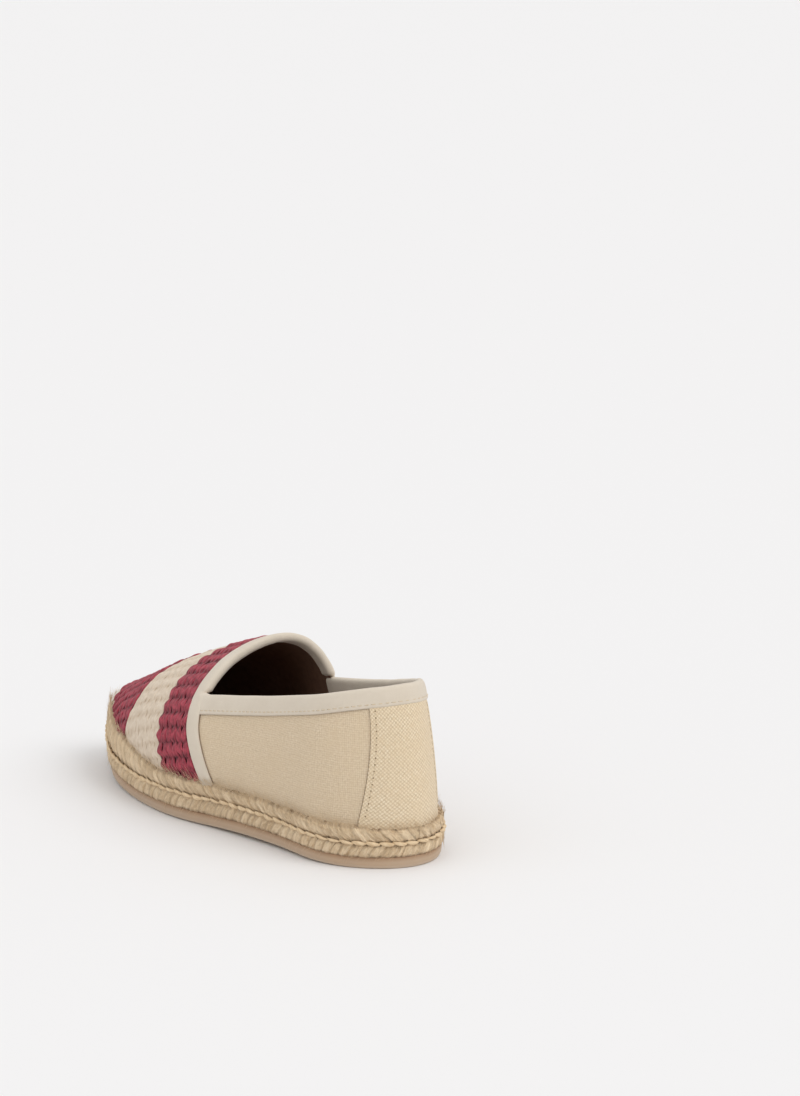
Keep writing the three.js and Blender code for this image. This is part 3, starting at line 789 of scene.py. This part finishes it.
def buildChain():
    source = np.random.default_rng(11)
    nets = []
    count = round(loopTotal / chain["pitch"])
    pitch = loopTotal / count
    rings, corners = chain["rings"], chain["corners"]
    for k in range(count):
        v = np.linspace(0, 1, rings)
        size = 1 + source.normal(0, 0.12)
        t = (k + v * chain["reach"]) * pitch + source.normal(0, 0.2)
        out = chain["out"] + 0.95 * np.sin(math.pi * v) ** 0.7 - 0.3 * v
        tilt = (0.9 if k % 2 else 0.35) + source.normal(0, 0.2)
        height = chain["height"] + tilt * (v - 0.5) + source.normal(0, 0.14)
        height = height + sagAt(seamSag, loopPlace(t, 0, 0))
        centre = loopPlace(t, out, height)
        ahead = unit(np.gradient(centre, axis=0))
        away = unit(loopPlace(t, out + 1, height) - loopPlace(t, out, height))
        up = unit(np.cross(ahead, away))
        width = chain["half"] * size * (0.25 + 0.75 * np.sin(math.pi * np.clip(v * 0.94 + 0.03, 0, 1)) ** 0.8)
        net = tubeNet(centre, up, away, width, width * 0.85, corners)
        nets.append(tubePart(net, np.linspace(0, 3, corners), v * 7 + k * 5))
    addNets("chain_stitch", nets, juteChain, slot="jute_braid")


fuzz = {
    "count": 5600,
    "radius": 0.06,
    "shortest": 1.6,
    "longest": 5.5,
    "heights": [(6.3, 12.5), (14, 20.6), (19.5, 21.6)],  # lower row, upper row, upper edge
    "edge": 19.4,
}


def buildFuzz():
    source = np.random.default_rng(17)
    nets = []
    for k in range(fuzz["count"]):
        height = source.choice([source.uniform(*band) for band in fuzz["heights"]])
        t = source.uniform(0, loopTotal)
        length = source.uniform(fuzz["shortest"], fuzz["longest"])
        v = np.linspace(0, 1, 5)
        slope = source.normal(0.9 if height > plait["seam"] else -0.9, 0.5)
        turn = source.normal(0, 0.5)
        out = -0.75 + 0.25 * source.random() + source.uniform(0.1, 0.75) * v ** 1.6 * (length / 3)
        if height > fuzz["edge"]:
            out = out - 0.9
        climb = np.clip((height - plait["seam"]) / (plait["top"] - plait["seam"]), 0, 1)
        base = loopPlace(t, 0, 0)[None]
        raised = plait["toeRaise"] * toeClimb(base)
        shift = climb * (sagAt(edgeSag, base) + raised) + (1 - climb) * sagAt(footSag, base)
        rise = height + shift + slope * length * 0.55 * v + turn * v ** 2
        out = out - plait["toeLean"] * raised * climb ** 2
        centre = loopPlace(t + length * 0.7 * v + turn * v ** 2, out, rise)
        ahead = unit(np.gradient(centre, axis=0))
        side = unit(np.cross(ahead, [0.3, 0.2, 1.0]))
        width = fuzz["radius"] * (1 - 0.6 * v)
        net = tubeNet(centre, side, unit(np.cross(ahead, side)), width, width, 3)
        nets.append(tubePart(net, np.arange(3) * 0.3, v * length + k))
    addNets("jute_fuzz", nets, juteChain, slot="jute_braid")


def yarnLook(name, light, dark):
    look = Look(name, roughness=0.85, specular=0.2)
    u, v = look.cloth()
    fibre = look.fibres(u * 2.4 + v * 0.8, v * 0.2, 3.0, 0.6)
    look.color(look.mixColor(fibre.clamped(2.0, -0.5), dark, light))
    look.bump(fibre, 0.0004, 0.8)
    return look.material


juteChain = yarnLook("jute chain yarn", rgb(240, 218, 184), rgb(204, 174, 134))
buildChain()
buildFuzz()
print("chain and fuzz made")

# quarters, seen between the heel and the vamp
quarter = {"columns": 150, "rows": 44, "under": 9.0, "tuck": 3.4}


def quarterSheet(side, offset, columns, rows, reach):
    share = 1 - np.cos(np.linspace(0, math.pi / 2, columns))
    share = share / share[-1]
    v = np.linspace(0, 1, rows)
    end = aheadOfThroat(side, v * junctionRise(side), reach)
    along = share[:, None] * end[None, :]
    top = collarRise(side, along[:, -1], 0)
    return skinPoint(side, along, v[None, :] * top[:, None], offset)


def tucked(net, depth):
    return np.concatenate([net[:, :1] - [0, 0, depth], net], axis=1)


def buildQuarters():
    nets = []
    for side in (outer, inner):
        net = tucked(quarterSheet(side, 0.0, quarter["columns"], quarter["rows"], quarter["under"]), quarter["tuck"])
        nets.append(sheetPart(net, side == outer))
        nets[-1][2][..., 0] *= side
    addNets("quarter_canvas", nets, quarterCanvas, node="upper", slot="upper_canvas")


buildQuarters()
print("quarters made")

# lining and footbed
liningShape = {"offset": -1.8, "quarter": (100, 30), "under": 3.0, "vamp": (90, 40)}


def vampNet(start, columns):
    # places along the shoe from a starting line on to the tip of the toe
    share = np.sin(np.linspace(0, math.pi / 2, columns))
    return start[None, :] + (1 - start[None, :]) * share[:, None]


def buildLining():
    nets = []
    offset = liningShape["offset"]
    columns, rows = liningShape["vamp"]
    for side in (outer, inner):
        behind = quarterSheet(side, offset, *liningShape["quarter"], liningShape["under"])
        rise = np.linspace(0, 1, rows)
        ahead = skinPoint(side, vampNet(throatAlong(side, rise), columns), rise, offset)
        nets += [sheetPart(behind, side == inner), sheetPart(ahead, side == inner)]
    addNets("dark_lining", nets, lining, slot="insole_lining")


def buildFootbed():
    edge = -(shoe["wall"] + 0.25)
    levels = [(0, 0.2), (0, 1.8), (0.5, 2.4), (1.6, 2.6)]
    rings = [soleRing(160, shoe["seatInset"] - edge + inset, seat + height) for inset, height in levels]
    points, faces = stackedRings(rings)
    addPiece("footbed", points, faces, lining, node="insole", slot="insole_lining")


buildLining()
buildFootbed()
print("lining made")

# bindings, and the values of the weave that the front one borders on
weave = {
    "start": 6.8,  # first cord, ahead of the throat
    "tongue": 3.2,  # more width of the binding, over the instep
    "pitch": 3.8,
    "ridge": 7.5,  # from crest to crest across the foot
    "lift": 0.62,
    "scallop": 1.2,
    "zigzag": 0.5,
    "relief": [1.0, 0.3],  # burgundy, off-white
    "stripes": [22.8, 57.0, 117.8],  # colour changes, ahead of the first cord
    "tuck": 2.8,  # below the canvas foot, behind the plait
    "step": 0.75,  # from ring to ring of a cord
    "corners": 16,
    "crease": 0.45,
    "thick": (0.56, 0.26),  # of a cord in the valleys, and more of it at the crests
    "room": (1.2, 4.4),
    "pullReach": 12,
    "endFade": 3.0,
    "endDrop": 1.5,
}
collarWidth = 7.6
panelTuck = 1.5  # of the heel panel under the collar's tape
binding = {"section": 40, "collar": 150, "front": 110, "under": 4.0, "width": 7.1}
# the tapes' sections: away from the edge they are folded over, outwards from the canvas
collarProfile = [
    (7.6, 0.15), (7.65, 0.6), (7.35, 0.98), (6.6, 1.08), (5.6, 0.98), (4.2, 1.12), (2.2, 1.18), (0.6, 1.1),
    (-0.5, 0.75), (-1.15, 0.1), (-1.38, -0.7), (-1.3, -1.6), (-0.8, -2.4), (0.3, -2.85), (2.6, -3.0), (5.8, -2.95),
    (6.4, -2.7), (6.4, -2.0),
]


def fineProfile(profile, count):
    table = np.array(profile, float)
    run = runLength(table, 0)
    s = np.linspace(0, run[-1], count)
    return curveThrough(run, table[:, 0], s), curveThrough(run, table[:, 1], s)


def buildCollarBinding():
    down, offset = fineProfile(collarProfile, binding["section"])
    columns = []
    for side in (outer, inner):
        junction = junctionRise(side)
        share = 1 - np.cos(np.linspace(0, math.pi / 2, binding["collar"]))
        edge = collarRise(side, float(throatAlong(side, junction)), down)
        limit = aheadOfThroat(side, edge, binding["under"])
        along = share[:, None] * limit[None, :]
        wave = noiseCurve(3 + side, len(share), 9, 0.10)
        rise = collarRise(side, along, np.broadcast_to(down, along.shape) + wave[:, None] * 0.6)
        puff = offset[None, :] + np.where(offset > 0, 1, -1)[None, :] * np.abs(wave)[:, None] * 0.4
        columns.append(skinPoint(side, along, rise, puff))
    net = np.concatenate([columns[0][::-1], columns[1][1:]])
    faces = gridFaces(*net.shape[:2], flip=True)
    # painted shade: the tape's lower edge face, at the foot of the collar, is coloured as a shadow line
    seam = np.broadcast_to(smoothStep(0.75, 0.35, offset) * (down > 7), net.shape[:2])
    addPiece("collar_binding_tape", net, faces, bindingTape, uv=clothUv(net, 0), values={"seam": seam},
             node="collar_binding", slot="binding_tape")


vampTapeProfile = [
    (7.1, 0.0), (7.15, 0.6), (6.8, 1.0), (6.0, 1.2), (5.0, 1.3), (3.6, 1.35), (2.0, 1.4), (0.6, 1.3), (-0.6, 0.95),
    (-1.3, 0.4), (-1.6, -0.4), (-1.55, -1.3), (-1.15, -2.1), (-0.3, -2.7), (1.2, -2.8), (4.0, -2.75), (6.0, -2.65),
    (6.2, -2.3),
]
strapProfile = [
    (7.1, 0.0), (7.15, 0.6), (6.8, 1.0), (6.0, 1.25), (5.0, 1.4), (3.6, 1.5), (2.0, 1.55), (0.6, 1.5), (-0.5, 1.35),
    (-1.2, 1.15), (-1.55, 0.9), (-1.65, 0.6), (-1.6, 0.2), (-1.5, 0.0), (-1.4, -0.1), (-1.3, -0.1), (-1.2, -0.1),
    (-1.1, -0.1),
]


def buildVampBinding():
    wrapA, wrapO = fineProfile(vampTapeProfile, binding["section"])
    strapA, strapO = fineProfile(strapProfile, binding["section"])
    # flat beside the quarters, folded over the edge at the throat
    columns, edgeShades = [], []
    for side in (outer, inner):
        rise = np.linspace(0, 1, binding["front"])
        junction = junctionRise(side)
        share = smoothStep(junction - 0.01, junction + 0.05, rise)[:, None]
        ahead = strapA[None, :] * (1 - share) + wrapA[None, :] * share
        offset = strapO[None, :] * (1 - share) + wrapO[None, :] * share
        R = np.broadcast_to(rise[:, None], ahead.shape)
        ahead = ahead + np.clip(ahead / binding["width"], 0, 1) * weave["tongue"] * smoothStep(0.55, 1, R)
        wave = noiseCurve(21 + side, len(rise), 7, 0.15)[:, None]
        along = aheadOfThroat(side, R, ahead + wave)
        net = skinPoint(side, along, R, offset)
        net = np.concatenate([net[:1] - [0, 0, weave["tuck"]], net])
        columns.append(net)
        # painted shade: the strap's rear edge face, over the quarter, is coloured as a shadow line
        rearShade = smoothStep(0.85, 0.5, strapO)[None, :] * (strapA < 0)[None, :] * (1 - share)
        edgeShades.append(np.concatenate([rearShade[:1], rearShade]))
    net = np.concatenate([columns[0], columns[1][:-1][::-1]])
    seam = np.concatenate([edgeShades[0], edgeShades[1][:-1][::-1]])
    addPiece("vamp_binding_tape", net, gridFaces(*net.shape[:2], flip=True), bindingTape,
             uv=clothUv(net, 0), values={"seam": seam}, node="vamp_binding", slot="binding_tape")


buildCollarBinding()
buildVampBinding()
print("bindings made")

# heel panel with its stitches
heelPiece = {
    "top": {outer: 18.4, inner: 15.1},  # reach from the middle of the heel, at the collar
    "foot": {outer: 26.0, inner: 21.0},
    "lift": 0.9,
    "columns": 40,
    "rows": 50,
    "edge": 0.8,  # breadth of the rounded edge
}


def panelSpread(side, v):
    foot, top = heelPiece["foot"][side], heelPiece["top"][side]
    return foot + (top - foot) * np.sin(v * math.pi / 2)


def panelAlong(side, v, spread):
    rise = v * float(collarRise(side, 0.0, collarWidth - panelTuck))
    start = lastPoint(side, 0.0, rise)

    def tooNear(along):
        return np.linalg.norm((lastPoint(side, along, rise) - start)[..., :2], axis=-1) < spread

    return bisect(np.zeros(np.shape(spread)), 0.4, tooNear)


def buildHeelPanel():
    v = np.linspace(0, 1, heelPiece["rows"])
    columns, edgeShades = [], []
    for side in (outer, inner):
        share = np.concatenate([np.linspace(0, 0.96, heelPiece["columns"]), [0.97, 0.98, 0.99, 1.0]])
        spread = panelSpread(side, v)[None, :] * share[:, None]
        along = panelAlong(side, np.broadcast_to(v, spread.shape), spread)
        top = collarRise(side, along[:, -1], collarWidth - panelTuck)
        rise = v[None, :] * top[:, None]
        edge = np.clip((1 - share) * panelSpread(side, 0.5) / heelPiece["edge"], 0, 1)[:, None]
        lift = heelPiece["lift"] * (1 - 0.3 * smoothStep(0.9, 1, v))[None, :]
        offset = 0.1 + (lift - 0.1) * np.sqrt(1 - (1 - edge) ** 2)
        net = skinPoint(side, along, rise, offset)
        columns.append(tucked(net, quarter["tuck"]))
        # painted shade: the outermost columns of the panel carry the shadow line along its edge
        edgeShades.append(np.broadcast_to((share > 0.985)[:, None], (len(share), net.shape[1] + 1)) * 1.0)
    net = np.concatenate([columns[0][::-1], columns[1][1:]])
    seam = np.concatenate([edgeShades[0][::-1], edgeShades[1][1:]])
    addPiece("heel_panel_canvas", net, gridFaces(*net.shape[:2], flip=True), panelCanvas, uv=clothUv(net),
             values={"seam": seam}, node="heel_panel", slot="panel_canvas")


buildHeelPanel()
print("heel panel made")

# vamp: woven cords over a backing
alongGrid = (1 - np.cos(np.linspace(1.2, math.pi, 420))) / 2
riseGrid = np.linspace(0, 1, 110)


def vampDistance(rises):
    # how far each point of the vamp lies ahead of the throat, the same for both sides at the tip of the toe
    runs = {}
    for side in (outer, inner):
        run = runLength(lastPoint(side, alongGrid[None, :], rises[:, None]), 1)
        start = [np.interp(float(throatAlong(side, rise)), alongGrid, run[i]) for i, rise in enumerate(rises)]
        runs[side] = run - np.array(start)[:, None]
    tip = (runs[outer][:, -1] + runs[inner][:, -1]) / 2
    tip = np.maximum.accumulate(tip[::-1])[::-1] + (1 - rises) * 0.01
    # towards the toe both sides come to the same distance, the rows spread at the sides and make room for the tape
    for side in (outer, inner):
        share = smoothStep(0.35, 1, runs[side] / runs[side][:, -1:])
        runs[side] = runs[side] + share * (tip[:, None] - runs[side][:, -1:])
        low = smoothStep(0.42, 0.05, rises)[:, None] * (1 - smoothStep(80, 130, runs[side]))
        runs[side] = runs[side] * (1 - low * (0.08 + 0.001 * runs[side]))
        over = smoothStep(0.55, 1, rises)[:, None] * (1 - smoothStep(20, 70, runs[side]))
        runs[side] = runs[side] - weave["tongue"] * over
    return runs, tip


vampRuns, tipRun = vampDistance(riseGrid)


def sliceLine(distance):
    if distance > tipRun[0] - 1:
        return None
    past = tipRun < distance
    last = int(np.argmax(past)) if past.any() else len(riseGrid)
    if last < 4:
        return None
    halves = []
    for side in (outer, inner):
        alongs = [float(np.interp(distance, vampRuns[side][i], alongGrid)) for i in range(last)]
        rises = list(riseGrid[:last])
        if past.any():
            share = (tipRun[last - 1] - distance) / (tipRun[last - 1] - tipRun[last])
            alongs.append(1.0)
            rises.append(riseGrid[last - 1] + (riseGrid[last] - riseGrid[last - 1]) * share)
        a, r = np.array(alongs), np.array(rises)
        halves.append((lastPoint(side, a, r), skinNormal(side, a, r)))
    points = np.concatenate([halves[0][0], halves[1][0][::-1][1:]])
    normals = np.concatenate([halves[0][1], halves[1][1][::-1][1:]])
    return points, normals, len(halves[0][0]) - 1


def stripeOf(distance):
    return int(np.searchsorted(weave["stripes"], distance))


def stripePull(distance):
    # burgundy bulges out at the crests, off-white at the valleys between them
    toEdge = np.array(weave["stripes"]) - distance
    near = int(np.argmin(np.abs(toEdge)))
    strength = np.clip(1 - abs(toEdge[near]) / weave["pullReach"], 0, 1)
    return strength if near % 2 == 0 else -strength


def buildCords():
    nets = {0: [], 1: []}
    lifts = {0: [], 1: []}
    start = weave["start"]
    lines = []
    distance = start + weave["pitch"] / 2
    line = sliceLine(distance)
    while line is not None:
        lines.append((distance, *line))
        distance += weave["pitch"]
        line = sliceLine(distance)
    print("cords", len(lines))
    curves = []
    step = weave["step"]
    for distance, points, normals, middle in lines:
        run = runLength(points, 0)
        g = run - run[middle]
        grid = np.arange(math.ceil(g[0] / step), math.floor(g[-1] / step) + 1) * step
        curves.append((distance, grid, between(grid, g, points), unit(between(grid, g, normals))))
    for j, (distance, grid, base, normal) in enumerate(curves):
        def wander(seed, waves, strength):
            return noiseCurve(seed, len(grid), waves, strength)

        across = unit(np.cross(unit(np.gradient(base, axis=0)), normal))
        other = curves[j + 1] if j + 1 < len(curves) else curves[j - 1]
        near = between(grid, other[1], other[2])
        room = np.clip(np.abs(np.sum((near - base) * across, axis=-1)), *weave["room"])
        phase = grid / weave["ridge"] + wander(50 + j // 2, 3, 0.03)
        lift = np.abs(np.cos(math.pi * phase))
        local = distance - start
        pull = stripePull(local) * weave["scallop"] * (lift - 0.55)
        swing = np.sin(2 * math.pi * phase) * (1 if j % 2 else -1)
        sideways = pull + weave["zigzag"] * swing * 0.5 + wander(90 + j, 40, 0.3)
        kind = stripeOf(local) % 2
        relief = weave["relief"][kind]
        thick = (weave["thick"][0] + weave["thick"][1] * lift * relief) * (1 + wander(200 + j, 30, 0.18))
        half = room / 2 * (0.82 + 0.3 * lift + 0.1 * (1 - relief)) * (1 + wander(300 + j, 30, 0.06))
        height = 0.15 * (2.5 * relief - 1.5) + weave["lift"] * (lift * relief + 0.4 * (1 - relief))
        height = height + wander(400 + j, 25, 0.1)
        endFade = np.clip(np.minimum(grid - grid[0], grid[-1] - grid) / weave["endFade"], 0, 1)
        height = height * (0.35 + 0.65 * endFade)
        centre = base + normal * height[:, None] + across * -sideways[:, None]
        centre[[0, -1]] -= [0, 0, weave["endDrop"]]
        net = tubeNet(centre, across, normal, half, thick, weave["corners"], weave["crease"])
        turn = np.linspace(0, 1, net.shape[1], endpoint=False)
        nets[kind].append(tubePart(net, turn + j, grid))
        lifts[kind].append(np.broadcast_to(lift[:, None], net.shape[:2]).ravel())
    for kind, name, material in ((0, "burgundy_cords", burgundyCord), (1, "white_cords", whiteCord)):
        addNets(name, nets[kind], material, values={"lift": np.concatenate(lifts[kind])}, slot="upper_canvas")


def backingLook():
    look = Look("vamp backing", roughness=0.9, specular=0.15)
    share = look.value("stripe")
    # the stripes' own colours, darker than the cords: painted shade in the gaps between the cords
    look.color(look.mixColor(share, rgb(62, 10, 22), rgb(196, 176, 152)))
    return look.material


backing = {"rows": 50, "columns": 150, "start": 4.5, "offset": 0.15}


def buildBacking():
    nets, marks = [], []
    for side in (outer, inner):
        rise = np.linspace(0, 1, backing["rows"])
        along = vampNet(aheadOfThroat(side, rise, backing["start"]), backing["columns"])
        net = tucked(skinPoint(side, along, rise, backing["offset"]), weave["tuck"])
        runs, _ = vampDistance(rise)
        distance = np.stack([np.interp(along[:, i], alongGrid, runs[side][i]) for i in range(len(rise))], axis=1)
        mark = np.searchsorted(weave["stripes"], distance - weave["start"]) % 2
        mark = np.concatenate([mark[:, :1], mark], axis=1)
        nets.append(sheetPart(net, side == outer))
        marks.append(mark.ravel())
    addNets("vamp_backing", nets, backingLook(), values={"stripe": np.concatenate(marks)}, slot="upper_canvas")


buildBacking()
buildCords()
print("vamp made")

# stitches
stitching = {
    "collar": {"inset": 6.1, "length": 2.2, "space": 0.9, "hole": 0.22},
    "panel": {"inset": 2.7, "length": 2.0, "space": 1.0, "hole": 0.32},
    "radius": 0.2,
}


def stitchRow(points, normals, length, space, radius):
    run = runLength(points, 0)
    nets = []
    start = space
    while start + length < run[-1]:
        t = np.linspace(start, start + length, 6)
        v = np.linspace(-1, 1, 6)
        centre = between(t, run, points)
        normal = unit(between(t, run, normals))
        centre = centre + normal * (radius * (0.6 - 1.3 * v ** 4))[:, None]
        side = unit(np.cross(unit(np.gradient(centre, axis=0)), normal))
        width = radius * np.sqrt(np.clip(1.05 - v ** 4, 0.05, 1))
        net = tubeNet(centre, side, normal, width, width, 6)
        nets.append(tubePart(net))
        start += length + space
    return nets


def holeRow(points, normals, space, radius):
    run = runLength(points, 0)
    t = np.arange(space, run[-1], space)
    nets = []
    for place in t:
        spot = between(place, run, points)
        ahead = between(place + 0.4, run, points) - spot
        normal = unit(between(place, run, normals))
        side = unit(np.cross(unit(ahead), normal))
        centre = np.stack([spot + normal * 0.03, spot + normal * 0.05])
        sides, ups = np.stack([side, side]), np.stack([unit(ahead), unit(ahead)])
        net = tubeNet(centre, sides, ups, np.array([radius, 0.02]), np.array([radius, 0.02]) * 1.3, 8)
        nets.append(tubePart(net, flip=True))
    return nets


def sew(place, normal, seam, nets, holes):
    nets += stitchRow(place, normal, seam["length"], seam["space"], stitching["radius"])
    holes += holeRow(place, normal, seam["length"] + seam["space"], seam["hole"])


def buildStitches():
    nets, holes = [], []
    collar, panel = stitching["collar"], stitching["panel"]
    for side in (outer, inner):
        along = np.linspace(0, float(throatAlong(side, junctionRise(side))) - 0.004, 300)
        rise = collarRise(side, along, collar["inset"])
        sew(skinPoint(side, along, rise, 1.0), skinNormal(side, along, rise), collar, nets, holes)
        v = np.linspace(0.0, 1, 200)
        along = panelAlong(side, v, panelSpread(side, v) - panel["inset"])
        rise = v * collarRise(side, along, collarWidth - 0.5)
        sew(skinPoint(side, along, rise, heelPiece["lift"]), skinNormal(side, along, rise), panel, nets, holes)
    addNets("stitches", nets, thread, slot="binding_tape")
    addNets("stitch_holes", holes, holeShade, slot="binding_tape")


buildStitches()
print("stitches made")

# floor, light and camera
studio = {
    "floor": rgb(239, 238, 238),
    "floorHalf": 30.0,  # metres
    "horizon": (0.5, 0.5, 0.5),
    "zenith": (1.0, 1.0, 1.0),
    "skyStrength": 0.95,
    "suns": {  # to the right of the camera's direction, above the floor (degrees), strength, softness (degrees)
        "key": (60, 46, 0.95, 42),
        "fill": (-50, 40, 0.24, 80),
    },
    "picture": 800,  # pixels across
    "sensor": 36.0,
    "focal": 4395.0,  # in pixels of the picture
    "pitch": 0.2065,
    "height": 544.4,
    "standX": 9.0,
    "standY": 1900.7,
    "turn": 0.6326,
}


def buildStudio():
    scene = bpy.context.scene
    mesh = bpy.data.meshes.new("floor")
    size = studio["floorHalf"]
    mesh.from_pydata([(-size, -size, 0), (size, -size, 0), (size, size, 0), (-size, size, 0)], [], [(0, 1, 2, 3)])
    floor = bpy.data.objects.new("floor", mesh)
    look = Look("studio floor", roughness=0.7, specular=0.2)
    look.color(studio["floor"])
    mesh.materials.append(look.material)
    scene.collection.objects.link(floor)
    world = bpy.data.worlds.new("studio")
    world.use_nodes = True
    sky = world.node_tree
    towardsSky = sky.nodes.new("ShaderNodeTexCoord")
    split = sky.nodes.new("ShaderNodeSeparateXYZ")
    ramp = sky.nodes.new("ShaderNodeValToRGB")
    ramp.color_ramp.elements[0].color = (*studio["horizon"], 1)
    ramp.color_ramp.elements[1].color = (*studio["zenith"], 1)
    sky.links.new(towardsSky.outputs["Generated"], split.inputs[0])
    sky.links.new(split.outputs[2], ramp.inputs[0])
    sky.links.new(ramp.outputs[0], sky.nodes["Background"].inputs[0])
    sky.nodes["Background"].inputs[1].default_value = studio["skyStrength"]
    scene.world = world
    scene.view_settings.view_transform = "Standard"
    turn = studio["turn"]
    for name, (aside, above, strength, softness) in studio["suns"].items():
        data = bpy.data.lights.new(name, "SUN")
        data.energy = strength
        data.angle = math.radians(softness)
        lamp = bpy.data.objects.new(name, data)
        bearing = math.radians(-90 + aside) - turn
        level = math.cos(math.radians(above))
        towards = Vector((math.cos(bearing) * level, math.sin(bearing) * level, math.sin(math.radians(above))))
        lamp.rotation_euler = towards.to_track_quat("Z", "Y").to_euler()
        scene.collection.objects.link(lamp)
    data = bpy.data.cameras.new("camera")
    data.sensor_fit = "HORIZONTAL"
    data.sensor_width = studio["sensor"]
    data.lens = studio["focal"] / studio["picture"] * studio["sensor"]
    data.clip_end = 100
    camera = bpy.data.objects.new("camera", data)
    dx, dy = -studio["standX"], -studio["standY"]
    x = dx * math.cos(turn) + dy * math.sin(turn)
    y = -dx * math.sin(turn) + dy * math.cos(turn)
    camera.location = ((x - shoe["middleX"]) / 1000, (y - shoe["middleY"]) / 1000, studio["height"] / 1000)
    camera.rotation_euler = (math.pi / 2 - studio["pitch"], 0, -turn)
    scene.collection.objects.link(camera)
    scene.camera = camera


buildStudio()
bpy.context.view_layer.update()
print("studio made")
